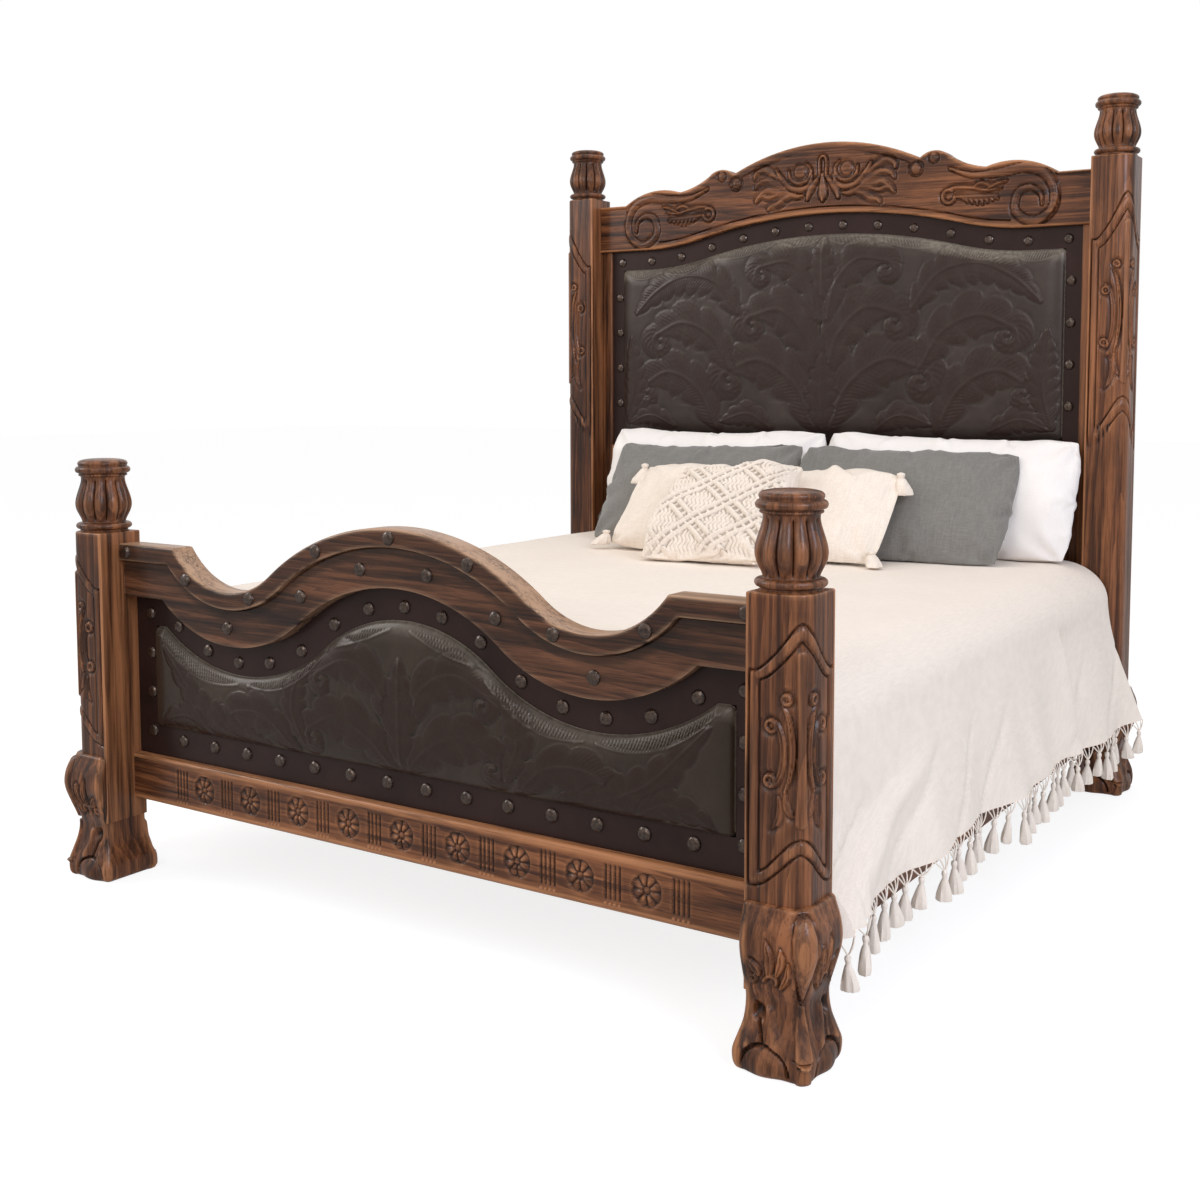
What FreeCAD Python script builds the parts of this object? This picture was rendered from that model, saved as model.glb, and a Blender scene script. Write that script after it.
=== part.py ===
import FreeCAD, Part
import Sketcher
import math
import os
import re

Vector = FreeCAD.Vector
doc = FreeCAD.newDocument("western_leather_bed")

# Driving sizes in millimetres: +X is the right side seen from the foot, +Y runs from foot to head
sizes = (
    ("post_side", 124, "square post timber"),
    ("mattress_side_gap", 11, "mattress to a side rail"),
    ("mattress_end_gap", 23, "mattress to the posts at either end"),
    ("post_corner", 42, "rounding of each post's outer front corner"),
    ("post_bottom", 150, "height where the post timber stands in its foot"),
    ("foot_post_top", 898, "top of a foot post under its finial"),
    ("head_post_top", 1971, "top of a head post under its finial"),
    ("paw_base", 73, "half width of the paw on the floor"),
    ("paw_flare", 80, "half width of the paw at its toes"),
    ("paw_flare_z", 38, "height of the toes"),
    ("paw_top_z", 95, "height where the paw runs into the ankle"),
    ("ankle_inset", 2, "ankle's inner sides inside the post's faces"),
    ("ankle_z", 138, "height of the ankle"),
    ("paw_rise", 4.5, "paw's reach beyond the post face where it runs into the ankle"),
    ("knee_under", 16, "knee's reach beyond the post face, below its fullest height"),
    ("knee_bulge", 27, "knee's reach beyond the post face at its fullest"),
    ("knee_over", 22, "knee's reach beyond the post face, above its fullest height"),
    ("knee_z", 250, "height of the knee"),
    ("knee_ledge", 9, "reach of the ledge on top of the knee"),
    ("knee_top", 322, "height of that ledge"),
    ("foot_corner", 28, "rounding of the foot's corners"),
    ("foot_dowel_r", 20, "radius of the dowel between foot and post"),
    ("foot_dowel_length", 70, "reach of that dowel into the post"),
    ("finial_ring_r", 68, "radius of the finial's base ring"),
    ("finial_ring_height", 20, "height of the base ring"),
    ("finial_waist_r", 58, "radius under the bulb"),
    ("finial_bulb_r", 69, "largest radius of the bulb"),
    ("finial_bulb_z", 68, "height of that radius"),
    ("finial_neck_r", 54, "radius of the neck"),
    ("finial_neck_z", 140, "height of the neck"),
    ("finial_rim_r", 67, "radius of the rim"),
    ("finial_rim_height", 22, "height of the rim"),
    ("finial_cap_r", 60, "radius of the top disc"),
    ("finial_crown_r", 30, "radius of the level middle of that disc"),
    ("finial_dome_swell", 6, "how far the disc's edge swells over a straight slope"),
    ("finial_height", 187, "height of the finial over the post"),
    ("finial_tenon_r", 18, "radius of the finial's round tenon"),
    ("finial_tenon_length", 55, "length of that tenon"),
    ("tenon_length", 40, "reach of a rail's tenon into a post"),
    ("tenon_thickness", 22, "thickness of a rail's tenon"),
    ("tenon_shoulder", 9, "shoulder above and below a tenon"),
    ("glue_gap", 0.2, "gap of a glued seam along a curve"),
    ("wave_end", 4, "shortest level end of a curved edge"),
    ("foot_valley_inset", 394, "footboard wave: a valley from the post"),
    ("foot_valley_drop", 96, "footboard wave: lowest point below the level ends"),
    ("foot_valley_r", 240, "footboard wave: radius of a valley"),
    ("foot_peak_rise", 89, "footboard wave: top of the middle hump over the level ends"),
    ("foot_flat_drop", 30, "footboard wave: level ends below the post's top"),
    ("cap_height", 43, "height of the footboard cap"),
    ("cap_setback", 57, "cap's front behind the post's front"),
    ("apron_drop", 136, "lower edge of the curved apron below the cap's top"),
    ("apron_setback", 71, "apron's front behind the post's front"),
    ("foot_rail_low", 198, "lower edge of the footboard's bottom rail"),
    ("foot_rail_high", 318, "upper edge of that rail"),
    ("foot_rail_setback", 86, "that rail's front behind the post's front"),
    ("rosette_inset", 268, "outer rosettes from the post"),
    ("rosette_r", 38, "radius of a rosette's recess"),
    ("rosette_depth", 5, "depth of that recess"),
    ("panel_thickness", 12, "backing panel under the leather"),
    ("panel_lap", 30, "lap of the footboard's panel behind the apron"),
    ("hide_thickness", 3, "leather border"),
    ("pad_rise", 26, "swell of a leather pad"),
    ("pad_draw", 18, "how far a pad's crown is drawn in"),
    ("foot_pad_drop", 212, "pad's upper edge below the cap's top"),
    ("foot_pad_inset", 76, "sides of the footboard pad from the post"),
    ("foot_pad_rise", 77, "lower edge of the footboard pad over the bottom rail"),
    ("crest_setback", 52, "crest's front behind the post's front"),
    ("crest_thickness", 58, "crest rail"),
    ("crest_end_drop", 31, "top of the crest's ends below the post's top"),
    ("crest_peak_rise", 162, "top of the crest over its ends"),
    ("crest_notch_inset", 574, "notch beside the arch, from the post"),
    ("crest_notch_rise", 81, "that notch over the crest's ends"),
    ("crest_roll_inset", 524, "small roll beside the notch, from the post"),
    ("crest_roll_rise", 101, "that roll over the crest's ends"),
    ("crest_saddle_inset", 349, "saddle, from the post"),
    ("crest_saddle_rise", 34, "saddle over the crest's ends"),
    ("crest_saddle_sag", 8, "hollow of the saddle"),
    ("crest_scroll_inset", 224, "end scroll, from the post"),
    ("crest_scroll_rise", 44, "end scroll over the crest's ends"),
    ("crest_scroll_end", 116, "outer end of the end scroll, from the post"),
    ("head_valley_inset", 204, "crest's lower edge: where its arch begins, from the post"),
    ("head_valley_r", 900, "crest's lower edge: radius of its flare"),
    ("crest_depth", 168, "depth of the crest at the posts"),
    ("head_arch_rise", 90, "crest's lower edge in the middle over that at the posts"),
    ("head_pad_drop", 70, "pad's upper edge below the crest"),
    ("head_pad_inset", 52, "sides of the headboard pad from the stiles"),
    ("head_pad_rise", 52, "lower edge of the headboard pad over the middle rail"),
    ("stile_width", 40, "headboard stile"),
    ("stile_thickness", 38, "headboard stile"),
    ("stile_setback", 74, "stile's front behind the post's front"),
    ("head_panel_setback", 85, "headboard panel's front behind the post's front"),
    ("mid_rail_high", 1045, "upper edge of the headboard's middle rail"),
    ("mid_rail_depth", 115, "depth of that rail"),
    ("head_rail_low", 200, "lower edge of the headboard's bottom rail"),
    ("head_rail_depth", 120, "depth of that rail"),
    ("muntin_width", 90, "upright between the two lower panels"),
    ("lower_panel_thickness", 20, "lower panel"),
    ("lower_panel_field", 60, "width of a lower panel's bevel"),
    ("lower_panel_edge", 8, "depth of that bevel"),
    ("clavo_r", 16.5, "radius of a clavo's dome"),
    ("clavo_rise", 9, "height of that dome"),
    ("clavo_shank_r", 2, "radius of a clavo's shank"),
    ("clavo_shank", 13, "length of that shank"),
    ("cap_clavo_inset", 28, "outer clavos on the cap from the post"),
    ("apron_clavo_inner", 99, "place of the inner clavos on the apron"),
    ("apron_clavo_middle", 288, "place of the next clavos on the apron"),
    ("apron_clavo_outer", 384, "outer clavos on the apron from the post"),
    ("border_row_drop", 181, "upper row of clavos below the cap's top"),
    ("border_row_inset", 161, "ends of that row from the post"),
    ("border_column_inset", 56, "side columns of clavos on the footboard, from the post"),
    ("border_column_rise", 15, "lowest clavo of those columns over the lower row"),
    ("border_low_rise", 48, "lower row of clavos over the bottom rail"),
    ("border_low_inset", 170, "ends of the lower row from the post"),
    ("head_row_drop", 40, "upper row of clavos below the crest"),
    ("head_row_inset", 45, "ends of that row from the stiles"),
    ("head_column_inset", 34, "side columns of clavos on the headboard, from the stiles"),
    ("head_column_drop", 172, "highest clavo of a side column below the crest"),
    ("head_low_rise", 27, "lower row of clavos over the middle rail"),
    ("rail_thickness", 40, "side rail"),
    ("rail_offset", 10, "side rail's centre outside the post's centre"),
    ("rail_low", 195, "lower edge of a side rail"),
    ("rail_high", 345, "upper edge of a side rail"),
    ("plate_thickness", 3, "steel of the bed-rail plates"),
    ("hook_plate_length", 90, "hook plate on the rail"),
    ("hook_plate_height", 90, "hook plate on the rail"),
    ("hook_reach", 14, "reach of a hook into the post"),
    ("hook_height", 18, "height of a hook"),
    ("hook_lip", 8, "drop of a hook's lip"),
    ("hook_pitch", 46, "spacing of the two hooks"),
    ("hook_clearance", 0.5, "play of a hook in its slot"),
    ("hook_screw_inset", 27, "screws of a hook plate from its ends"),
    ("hook_screw_rise", 22.5, "screws of a hook plate from its middle"),
    ("receiver_width", 32, "slotted plate in the post"),
    ("receiver_height", 112, "slotted plate in the post"),
    ("receiver_screw_inset", 9, "screws of that plate from its ends"),
    ("receiver_screw_edge", 5.5, "screws of that plate from its inner edge"),
    ("screw_head_r", 4.5, "wood screw head"),
    ("screw_shank_r", 2.2, "wood screw shank"),
    ("screw_head_height", 2.5, "wood screw head"),
    ("screw_length", 30, "wood screw shank"),
    ("ledger_screw_length", 48, "long screw through a ledger"),
    ("ledger_side", 30, "slat ledger"),
    ("ledger_rise", 19, "lower face of a slat ledger over the rail's lower edge"),
    ("ledger_end_gap", 38, "end of a slat ledger to the posts"),
    ("ledger_screw_inset", 105, "outer ledger screws from the ledger's ends"),
    ("fitting_room", 2, "room left in a ledger around the hook plate's screws"),
    ("slat_width", 90, "slat"),
    ("slat_thickness", 18, "slat"),
    ("slat_play", 5, "gap between a slat's end and the side rail"),
    ("slat_end_gap", 5, "outer slats to the ledger's ends"),
    ("beam_width", 44, "centre beam"),
    ("beam_depth", 90, "centre beam"),
    ("beam_end_gap", 120, "end of the centre beam to the boards"),
    ("leg_side", 48, "centre leg"),
    ("leg_inset", 380, "outer centre legs from the beam's ends"),
    ("soft_gap", 0.4, "gap under a soft piece that only lies there"),
    ("mattress_width", 1930, "mattress"),
    ("mattress_length", 2030, "mattress"),
    ("mattress_height", 268, "mattress"),
    ("mattress_corner", 110, "mattress corners seen from above"),
    ("mattress_edge", 90, "rounding of the mattress edges"),
    ("foundation_height", 188, "foundation under the mattress"),
    ("foundation_edge", 12, "rounding of the foundation edges"),
    ("spread_thickness", 6, "bedspread"),
    ("spread_end_gap", 11, "bedspread's end edge to the posts"),
    ("spread_tuck", 180, "bedspread tucked in at the foot"),
    ("shoulder_run", 150, "bedspread's rounded shoulder, across"),
    ("shoulder_drop", 120, "bedspread's rounded shoulder, down"),
    ("shoulder_gap", 47, "bedspread's side under its shoulder, from the mattress"),
    ("hem_gap", 34, "bedspread's hem at the foot, from the side rail"),
    ("hem_flare", 62, "how far the hem flares towards the head"),
    ("hem_z", 250, "height of the hem"),
    ("fold_depth", 9, "depth of the hem's folds"),
    ("tassel_length", 95, "tassel of the fringe"),
    ("corner_tassel_length", 50, "tassel at a corner of the lumbar pillow"),
    ("tassel_r", 11, "tassel's foot"),
    ("tassel_head_r", 5, "tassel's head"),
    ("tassel_seam", 3, "tassel's head sewn into the cloth"),
    ("white_middle_gap", 8, "white pillow to the middle of the bed"),
    ("white_side_gap", 26, "white pillow to the post"),
    ("white_height", 385, "white pillow"),
    ("white_swell", 130, "white pillow"),
    ("white_lean", 18, "degrees that the white pillows lean back"),
    ("white_setback", 53, "middle of the white pillows from the head posts"),
    ("grey_width", 725, "grey pillow"),
    ("grey_height", 360, "grey pillow"),
    ("grey_swell", 120, "grey pillow"),
    ("grey_lean", 27, "degrees that the grey pillows lean back"),
    ("grey_setback", 218, "middle of the grey pillows from the head posts"),
    ("grey_x", 392, "grey pillow"),
    ("lumbar_width", 900, "cream lumbar pillow"),
    ("lumbar_height", 375, "cream lumbar pillow"),
    ("lumbar_swell", 105, "cream lumbar pillow"),
    ("lumbar_lean", 41, "degrees that the lumbar pillow leans back"),
    ("lumbar_setback", 390, "middle of the lumbar pillow from the head posts"),
    ("lumbar_x", -40, "cream lumbar pillow"),
    ("woven_width", 500, "woven pillow"),
    ("woven_height", 415, "woven pillow"),
    ("woven_swell", 110, "woven pillow"),
    ("woven_lean", 49, "degrees that the woven pillow leans back"),
    ("woven_setback", 566, "middle of the woven pillow from the head posts"),
    ("woven_x", -90, "woven pillow"),
    ("pillow_draw", 14, "how far a pillow's sides are drawn in"),
)

sheet = doc.addObject("Spreadsheet::Sheet", "dims")
for row, (alias, size, note) in enumerate(sizes, start=1):
    sheet.set(f"A{row}", note)
    sheet.set(f"B{row}", str(size))
    sheet.setAlias(f"B{row}", alias)
doc.recompute()
aliases = {alias for alias, size, note in sizes}

# Counts
rosette_count = 9
slat_count = 11
leg_count = 3
foot_row_count = 15
head_row_count = 14
low_row_count = 14
column_count = 4
ledger_screw_count = 8
hem_stations = 16
fold_count = 4
cap_clavo_count = 9

# Shares of a swell's depth and of its full size, from one face to the other
pillow_steps = ((-0.5, 0.5), (-0.36, 0.74), (-0.16, 0.92), (0, 1), (0.16, 0.92), (0.36, 0.74), (0.5, 0.5))
pad_steps = ((0, 0.3), (0.3, 0), (0.75, 0.45), (1, 1))

# An eighth of a circle on a unit radius, and the distance at which two points are one
eighth = 1 - math.sqrt(0.5)
same_place = 0.01

# Places that several pieces share
post_half = "post_side / 2"
ankle_half = f"({post_half} - ankle_inset)"
rail_inner_x = "mattress_width / 2 + mattress_side_gap"
rail_outer_x = f"{rail_inner_x} + rail_thickness"
post_x = f"({rail_inner_x} + rail_thickness / 2 - rail_offset)"
inner_x = f"({post_x} - {post_half})"
inner_y = "(mattress_length / 2 + mattress_end_gap)"
post_y = f"({inner_y} + {post_half})"
foot_flat_z = "(foot_post_top - foot_flat_drop)"
crest_end_z = "(head_post_top - crest_end_drop)"
head_arch_low = f"({crest_end_z} - crest_depth)"
mid_rail_low = "(mid_rail_high - mid_rail_depth)"
head_rail_high = "(head_rail_low + head_rail_depth)"
border_low_z = "(foot_rail_high + border_low_rise)"
head_low_z = "(mid_rail_high + head_low_rise)"
ledger_low = "(rail_low + ledger_rise)"
ledger_top = f"({ledger_low} + ledger_side)"
ledger_half = f"({inner_y} - ledger_end_gap)"
beam_half = f"({inner_y} - beam_end_gap)"
foot_panel_front = f"-({inner_y}) - panel_thickness"
foot_hide_front = f"{foot_panel_front} - hide_thickness"
head_panel_front = f"{inner_y} + head_panel_setback"
head_hide_front = f"{head_panel_front} - hide_thickness"
stile_front = f"{inner_y} + stile_setback"
stile_middle = f"{stile_front} + stile_thickness / 2"
stile_back = f"{stile_front} + stile_thickness"
stile_inner_x = f"{inner_x} - stile_width"
slat_top = f"({ledger_top} + slat_thickness)"
foundation_low = f"{slat_top} + soft_gap"
mattress_low = f"{foundation_low} + foundation_height + soft_gap"
spread_low = f"{mattress_low} + mattress_height + soft_gap"
spread_top = f"{spread_low} + spread_thickness"
spread_end = f"{inner_y} - spread_end_gap"
shoulder_x = "(mattress_width / 2 + shoulder_gap)"

parts = []


def cells(expression):
    def cell(word):
        return f"dims.{word[0]}" if word[0] in aliases else word[0]
    return re.sub(r"[a-z]\w*", cell, expression)


def mm(expression):
    return float(sheet.evalExpression(cells(expression)))


def bind(thing, name, expression):
    thing.setExpression(name, cells(expression))


def keep(piece, label):
    piece.Label = label
    parts.append(piece)
    return piece


def box(name, across, along, up):
    block = doc.addObject("Part::Box", name)
    for side, axis, (low, high) in zip(("Length", "Width", "Height"), "xyz", (across, along, up)):
        bind(block, side, f"({high}) - ({low})")
        bind(block, f"Placement.Base.{axis}", low)
    return block


def fuse(name, *shapes):
    joined = doc.addObject("Part::MultiFuse", name)
    joined.Shapes = list(shapes)
    return joined


def cut(name, base, *tools):
    carved = doc.addObject("Part::Cut", name)
    carved.Base = base
    carved.Tool = tools[0] if len(tools) == 1 else fuse(f"{name}_tools", *tools)
    return carved


def mirror(name, source, axis):
    other = doc.addObject("Part::Mirroring", name)
    other.Source = source
    other.Base = Vector()
    other.Normal = Vector(axis == "x", axis == "y", 0)
    return other


def quarters(name, source):
    right = doc.addObject("Part::Compound", f"{name}_right")
    right.Links = [source, mirror(f"{name}_foot", source, "y")]
    group = doc.addObject("Part::Compound", name)
    group.Links = [right, mirror(f"{name}_left", right, "x")]
    return group


def new_body(name):
    return doc.addObject("PartDesign::Body", name)


def sketch_on(body, role, offset):
    sketch = body.newObject("Sketcher::SketchObject", f"{body.Name}_sketch")
    plane = next(item for item in body.Origin.OriginFeatures if item.Role == role)
    sketch.AttachmentSupport = [(plane, "")]
    sketch.MapMode = "FlatFace"
    bind(sketch, "AttachmentOffset.Base.z", offset)
    return sketch


def rectangle(sketch, across, up):
    left, right = (mm(value) for value in across)
    low, high = (mm(value) for value in up)
    corners = [Vector(left, low), Vector(right, low), Vector(right, high), Vector(left, high)]
    for number in range(4):
        sketch.addGeometry(Part.LineSegment(corners[number], corners[(number + 1) % 4]), False)
    for number in range(4):
        sketch.addConstraint(Sketcher.Constraint("Coincident", number, 2, (number + 1) % 4, 1))
        level = "Vertical" if number % 2 else "Horizontal"
        sketch.addConstraint(Sketcher.Constraint(level, number))
    width = f"({across[1]}) - ({across[0]})"
    height = f"({up[1]}) - ({up[0]})"
    measures = (
        ("left", Sketcher.Constraint("DistanceX", -1, 1, 0, 1, left), across[0]),
        ("low", Sketcher.Constraint("DistanceY", -1, 1, 0, 1, low), up[0]),
        ("width", Sketcher.Constraint("DistanceX", 0, 1, 0, 2, right - left), width),
        ("height", Sketcher.Constraint("DistanceY", 1, 1, 1, 2, high - low), height),
    )
    for name, constraint, expression in measures:
        sketch.renameConstraint(sketch.addConstraint(constraint), name)
        bind(sketch, f"Constraints.{name}", expression)
    return sketch


def outline(sketch, edges):
    sketch.addGeometry(edges, False)
    return sketch


def pad(body, sketch, length):
    feature = body.newObject("PartDesign::Pad", f"{body.Name}_pad")
    feature.Profile = sketch
    bind(feature, "Length", length)
    return feature


def loft(body, sections, ruled):
    feature = body.newObject("PartDesign::AdditiveLoft", f"{body.Name}_loft")
    feature.Profile = sections[0]
    feature.Sections = sections[1:]
    feature.Ruled = ruled
    return feature


def fillet(body, base, radius, chosen):
    doc.recompute()
    names = [f"Edge{number}" for number, edge in enumerate(base.Shape.Edges, start=1) if chosen(edge)]
    feature = body.newObject("PartDesign::Fillet", f"{body.Name}_fillet")
    feature.Base = (base, names)
    bind(feature, "Radius", radius)
    return feature


def line(start, end):
    return Part.LineSegment(Vector(*start), Vector(*end))


def arc(start, middle, end):
    return Part.Arc(Vector(*start), Vector(*middle), Vector(*end))


def polygon(points):
    return [line(start, end) for start, end in zip(points, points[1:] + points[:1])]


def flipped(point):
    return (-point[0], point[1])


class Wave:
    # Two valleys and a hump of tangent arcs, level at both ends; an offset lowers the whole line
    def __init__(self, names):
        valley_x, valley_z, self.valley_r, peak_z, self.flat_z = (mm(name) for name in names)
        self.valley_x = valley_x
        self.centre_z = valley_z + self.valley_r
        rise = self.centre_z - peak_z
        self.peak_r = (valley_x ** 2 + rise ** 2 - self.valley_r ** 2) / (2 * (self.valley_r - rise))
        self.peak_centre = peak_z - self.peak_r

    def tangent(self, offset):
        share = (self.valley_r + offset) / (self.valley_r + self.peak_r)
        return (self.valley_x * (1 - share), self.centre_z + share * (self.peak_centre - self.centre_z))

    def corner(self, offset, half):
        radius = self.valley_r + offset
        drop = min(self.centre_z - self.flat_z + offset, radius)
        reach = min(self.valley_x + math.sqrt(radius ** 2 - drop ** 2), half - mm("wave_end"))
        return (reach, self.centre_z - math.sqrt(radius ** 2 - (reach - self.valley_x) ** 2))

    def height(self, offset, place, half):
        place = abs(place)
        if place >= self.corner(offset, half)[0]:
            return self.corner(offset, half)[1]
        if place >= self.tangent(offset)[0]:
            return self.centre_z - math.sqrt((self.valley_r + offset) ** 2 - (place - self.valley_x) ** 2)
        return self.peak_centre + math.sqrt((self.peak_r - offset) ** 2 - place ** 2)

    def edges(self, offset, half):
        corner = self.corner(offset, half)
        tangent = self.tangent(offset)
        radius = self.valley_r + offset
        turns = [math.atan2(z - self.centre_z, x - self.valley_x) for x, z in (corner, tangent)]
        turn = sum(turns) / 2
        middle = (self.valley_x + radius * math.cos(turn), self.centre_z + radius * math.sin(turn))
        top = (0, self.peak_centre + self.peak_r - offset)
        return [
            line((-half, corner[1]), flipped(corner)),
            arc(flipped(corner), flipped(middle), flipped(tangent)),
            arc(flipped(tangent), top, tangent),
            arc(tangent, middle, corner),
            line(corner, (half, corner[1])),
        ]


foot_wave = Wave((
    f"{inner_x} - foot_valley_inset", f"{foot_flat_z} - foot_valley_drop", "foot_valley_r",
    f"{foot_flat_z} + foot_peak_rise", foot_flat_z))
head_wave = Wave((
    f"{inner_x} - head_valley_inset", head_arch_low, "head_valley_r",
    f"{head_arch_low} + head_arch_rise", head_arch_low))


def under_wave(wave, drop, half, low):
    top = wave.corner(drop, half)[1]
    sides = [line((side * half, low), (side * half, top)) for side in (-1, 1)]
    return wave.edges(drop, half) + sides + [line((-half, low), (half, low))]


def between_waves(wave, drop, lower_drop, half):
    ends = [wave.corner(value, half)[1] for value in (drop, lower_drop)]
    sides = [line((side * half, ends[0]), (side * half, ends[1])) for side in (-1, 1)]
    return wave.edges(drop, half) + wave.edges(lower_drop, half) + sides


def profile_board(name, edges, back, thickness):
    body = new_body(name)
    pad(body, outline(sketch_on(body, "XZ_Plane", f"-({back})"), edges), thickness)
    return body


def tongue(name, back, thickness, low, high):
    # The tenon at a board's right end, rooted as deep in the board as it reaches into the post
    middle = f"({back}) - ({thickness}) / 2"
    along = (f"{middle} - tenon_thickness / 2", f"{middle} + tenon_thickness / 2")
    up = (f"({low}) + tenon_shoulder", f"({high}) - tenon_shoulder")
    return box(name, (f"{inner_x} - tenon_length", f"{inner_x} + tenon_length"), along, up)


def tenoned(name, board, tenon):
    return fuse(name, board, tenon, mirror(f"{name}_left_tenon", tenon, "x"))


def share_of(number, count, half):
    # One of several even places from -half to half
    return f"({half}) * ({2 * number - count + 1} / {count - 1})"


def row_of(count, half):
    return [mm(share_of(number, count, half)) for number in range(count)]


# Finials: a turned bulb on a ring, with a rim, a low dome and a round tenon
def finial(name, along, top):
    ring = mm("finial_ring_height")
    rim_low = mm("finial_neck_z")
    rim_high = mm("finial_neck_z + finial_rim_height")
    summit = mm("finial_height")
    tenon = mm("finial_tenon_r")
    neck = mm("finial_neck_r")
    rim = mm("finial_rim_r")
    cap = mm("finial_cap_r")
    crown = mm("finial_crown_r")
    swell = mm("finial_dome_swell")
    waist = mm("finial_waist_r")
    body = new_body(name)
    sketch = sketch_on(body, "XZ_Plane", f"-({along})")
    depth = mm("finial_tenon_length")
    outline(sketch, [
        line((0, -depth), (tenon, -depth)),
        line((tenon, -depth), (tenon, 0)),
        line((tenon, 0), (waist, 0)),
        arc((waist, 0), (mm("finial_ring_r"), ring / 2), (waist, ring)),
        arc((waist, ring), (mm("finial_bulb_r"), mm("finial_bulb_z")), (neck, rim_low)),
        line((neck, rim_low), (cap, rim_low)),
        arc((cap, rim_low), (rim, (rim_low + rim_high) / 2), (cap, rim_high)),
        arc((cap, rim_high), ((cap + crown) / 2 + swell, (rim_high + summit) / 2 + swell), (crown, summit)),
        line((crown, summit), (0, summit)),
        line((0, summit), (0, -depth)),
    ])
    bind(sketch, "AttachmentOffset.Base.x", post_x)
    bind(sketch, "AttachmentOffset.Base.y", top)
    turned = body.newObject("PartDesign::Revolution", f"{name}_revolution")
    turned.Profile = sketch
    turned.ReferenceAxis = (sketch, ["V_Axis"])
    turned.Angle = 360
    return body


# Claw feet: paw, ankle and knee carved in one block, notched for the post and dowelled into it
def claw_foot(name, along, post_blank, front_knee):
    levels = (
        ("0", "paw_base", "paw_base"),
        ("paw_flare_z", "paw_flare", "paw_flare"),
        ("paw_top_z", ankle_half, f"{post_half} + paw_rise"),
        ("ankle_z", ankle_half, post_half),
        ("(ankle_z + knee_z) / 2", ankle_half, f"{post_half} + knee_under"),
        ("knee_z", ankle_half, f"{post_half} + knee_bulge"),
        ("(knee_z + knee_top) / 2", ankle_half, f"{post_half} + knee_over"),
        ("knee_top", ankle_half, f"{post_half} + knee_ledge"),
    )
    body = new_body(name)
    round_off = mm("foot_corner")
    slant = round_off * eighth
    sections = []
    for height, inner, outer in levels:
        sketch = sketch_on(body, "XY_Plane", height)
        bind(sketch, "AttachmentOffset.Base.x", post_x)
        bind(sketch, "AttachmentOffset.Base.y", along)
        low, high = -mm(inner), mm(outer)
        front = -high if front_knee else max(-high, -mm(f"max(({inner}); {post_half})"))
        corners = [(low, front), (high, front), (high, -low), (low, -low)]
        steps = [(1, 0), (0, 1), (-1, 0), (0, -1)]
        for number, (corner, ahead) in enumerate(zip(corners, steps)):
            behind = steps[number - 1]
            start = tuple(c - round_off * b for c, b in zip(corner, behind))
            end = tuple(c + round_off * a for c, a in zip(corner, ahead))
            middle = tuple(c + slant * (a - b) for c, a, b in zip(corner, ahead, behind))
            after = corners[(number + 1) % 4]
            side_end = tuple(c - round_off * a for c, a in zip(after, ahead))
            outline(sketch, [arc(start, middle, end), line(end, side_end)])
        sections.append(sketch)
    loft(body, sections, True)
    dowel = doc.addObject("Part::Cylinder", f"{name}_dowel")
    bind(dowel, "Radius", "foot_dowel_r")
    bind(dowel, "Height", "post_bottom - ankle_z + foot_dowel_length")
    for axis, value in (("x", post_x), ("y", along), ("z", "ankle_z")):
        bind(dowel, f"Placement.Base.{axis}", value)
    return fuse(f"{name}_joined", cut(f"{name}_notched", body, post_blank), dowel), dowel


def post_blank(name, along, top):
    body = new_body(name)
    sketch = sketch_on(body, "XY_Plane", "post_bottom")
    front = f"({along}) - {post_half}"
    back = f"({along}) + {post_half}"
    rectangle(sketch, (f"{post_x} - {post_half}", f"{post_x} + {post_half}"), (front, back))
    timber = pad(body, sketch, f"({top}) - post_bottom")
    corner = Vector(mm(f"{post_x} + {post_half}"), mm(front), 0)
    fillet(body, timber, "post_corner", lambda edge: all(
        math.hypot(vertex.X - corner.x, vertex.Y - corner.y) < same_place for vertex in edge.Vertexes))
    return body


# Bed-rail fittings at the right head corner: hooks on the rail drop into a slotted plate in the post
hook_low = "(rail_low + rail_high) / 2 - hook_pitch / 2 - hook_height / 2"
hook_x = (rail_inner_x, f"{rail_inner_x} + plate_thickness")
plate_middle = "(rail_low + rail_high) / 2"
hook_blades = []
hook_slots = []
hook_wells = []
for number in range(2):
    low = f"{hook_low} + {number} * hook_pitch"
    high = f"{low} + hook_height"
    lip_low = f"{low} - hook_lip"
    behind_plate = f"{inner_y} + plate_thickness + hook_clearance"
    tip = f"{inner_y} + hook_reach"
    wide = (f"{rail_inner_x} - hook_clearance", f"{rail_inner_x} + plate_thickness + hook_clearance")
    tall = (f"{lip_low} - hook_clearance", f"{high} + hook_clearance")
    hook_blades.append(box(f"hook_arm_{number}", hook_x, (inner_y, tip), (low, high)))
    hook_blades.append(box(f"hook_lip_{number}", hook_x, (behind_plate, tip), (lip_low, low)))
    hook_slots.append(box(f"hook_slot_{number}", wide, (inner_y, f"{inner_y} + plate_thickness"), tall))
    hook_wells.append(box(f"hook_well_{number}", wide, (inner_y, f"{tip} + hook_clearance"), tall))
hook_web = box(
    "hook_web", hook_x, (f"{inner_y} - hook_plate_length", inner_y),
    (f"{plate_middle} - hook_plate_height / 2", f"{plate_middle} + hook_plate_height / 2"))
hook_plate = fuse("hook_plate", hook_web, *hook_blades)
receiver_centre = f"{rail_inner_x} + plate_thickness / 2"
receiver_inner = f"{receiver_centre} - receiver_width / 2"
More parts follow.
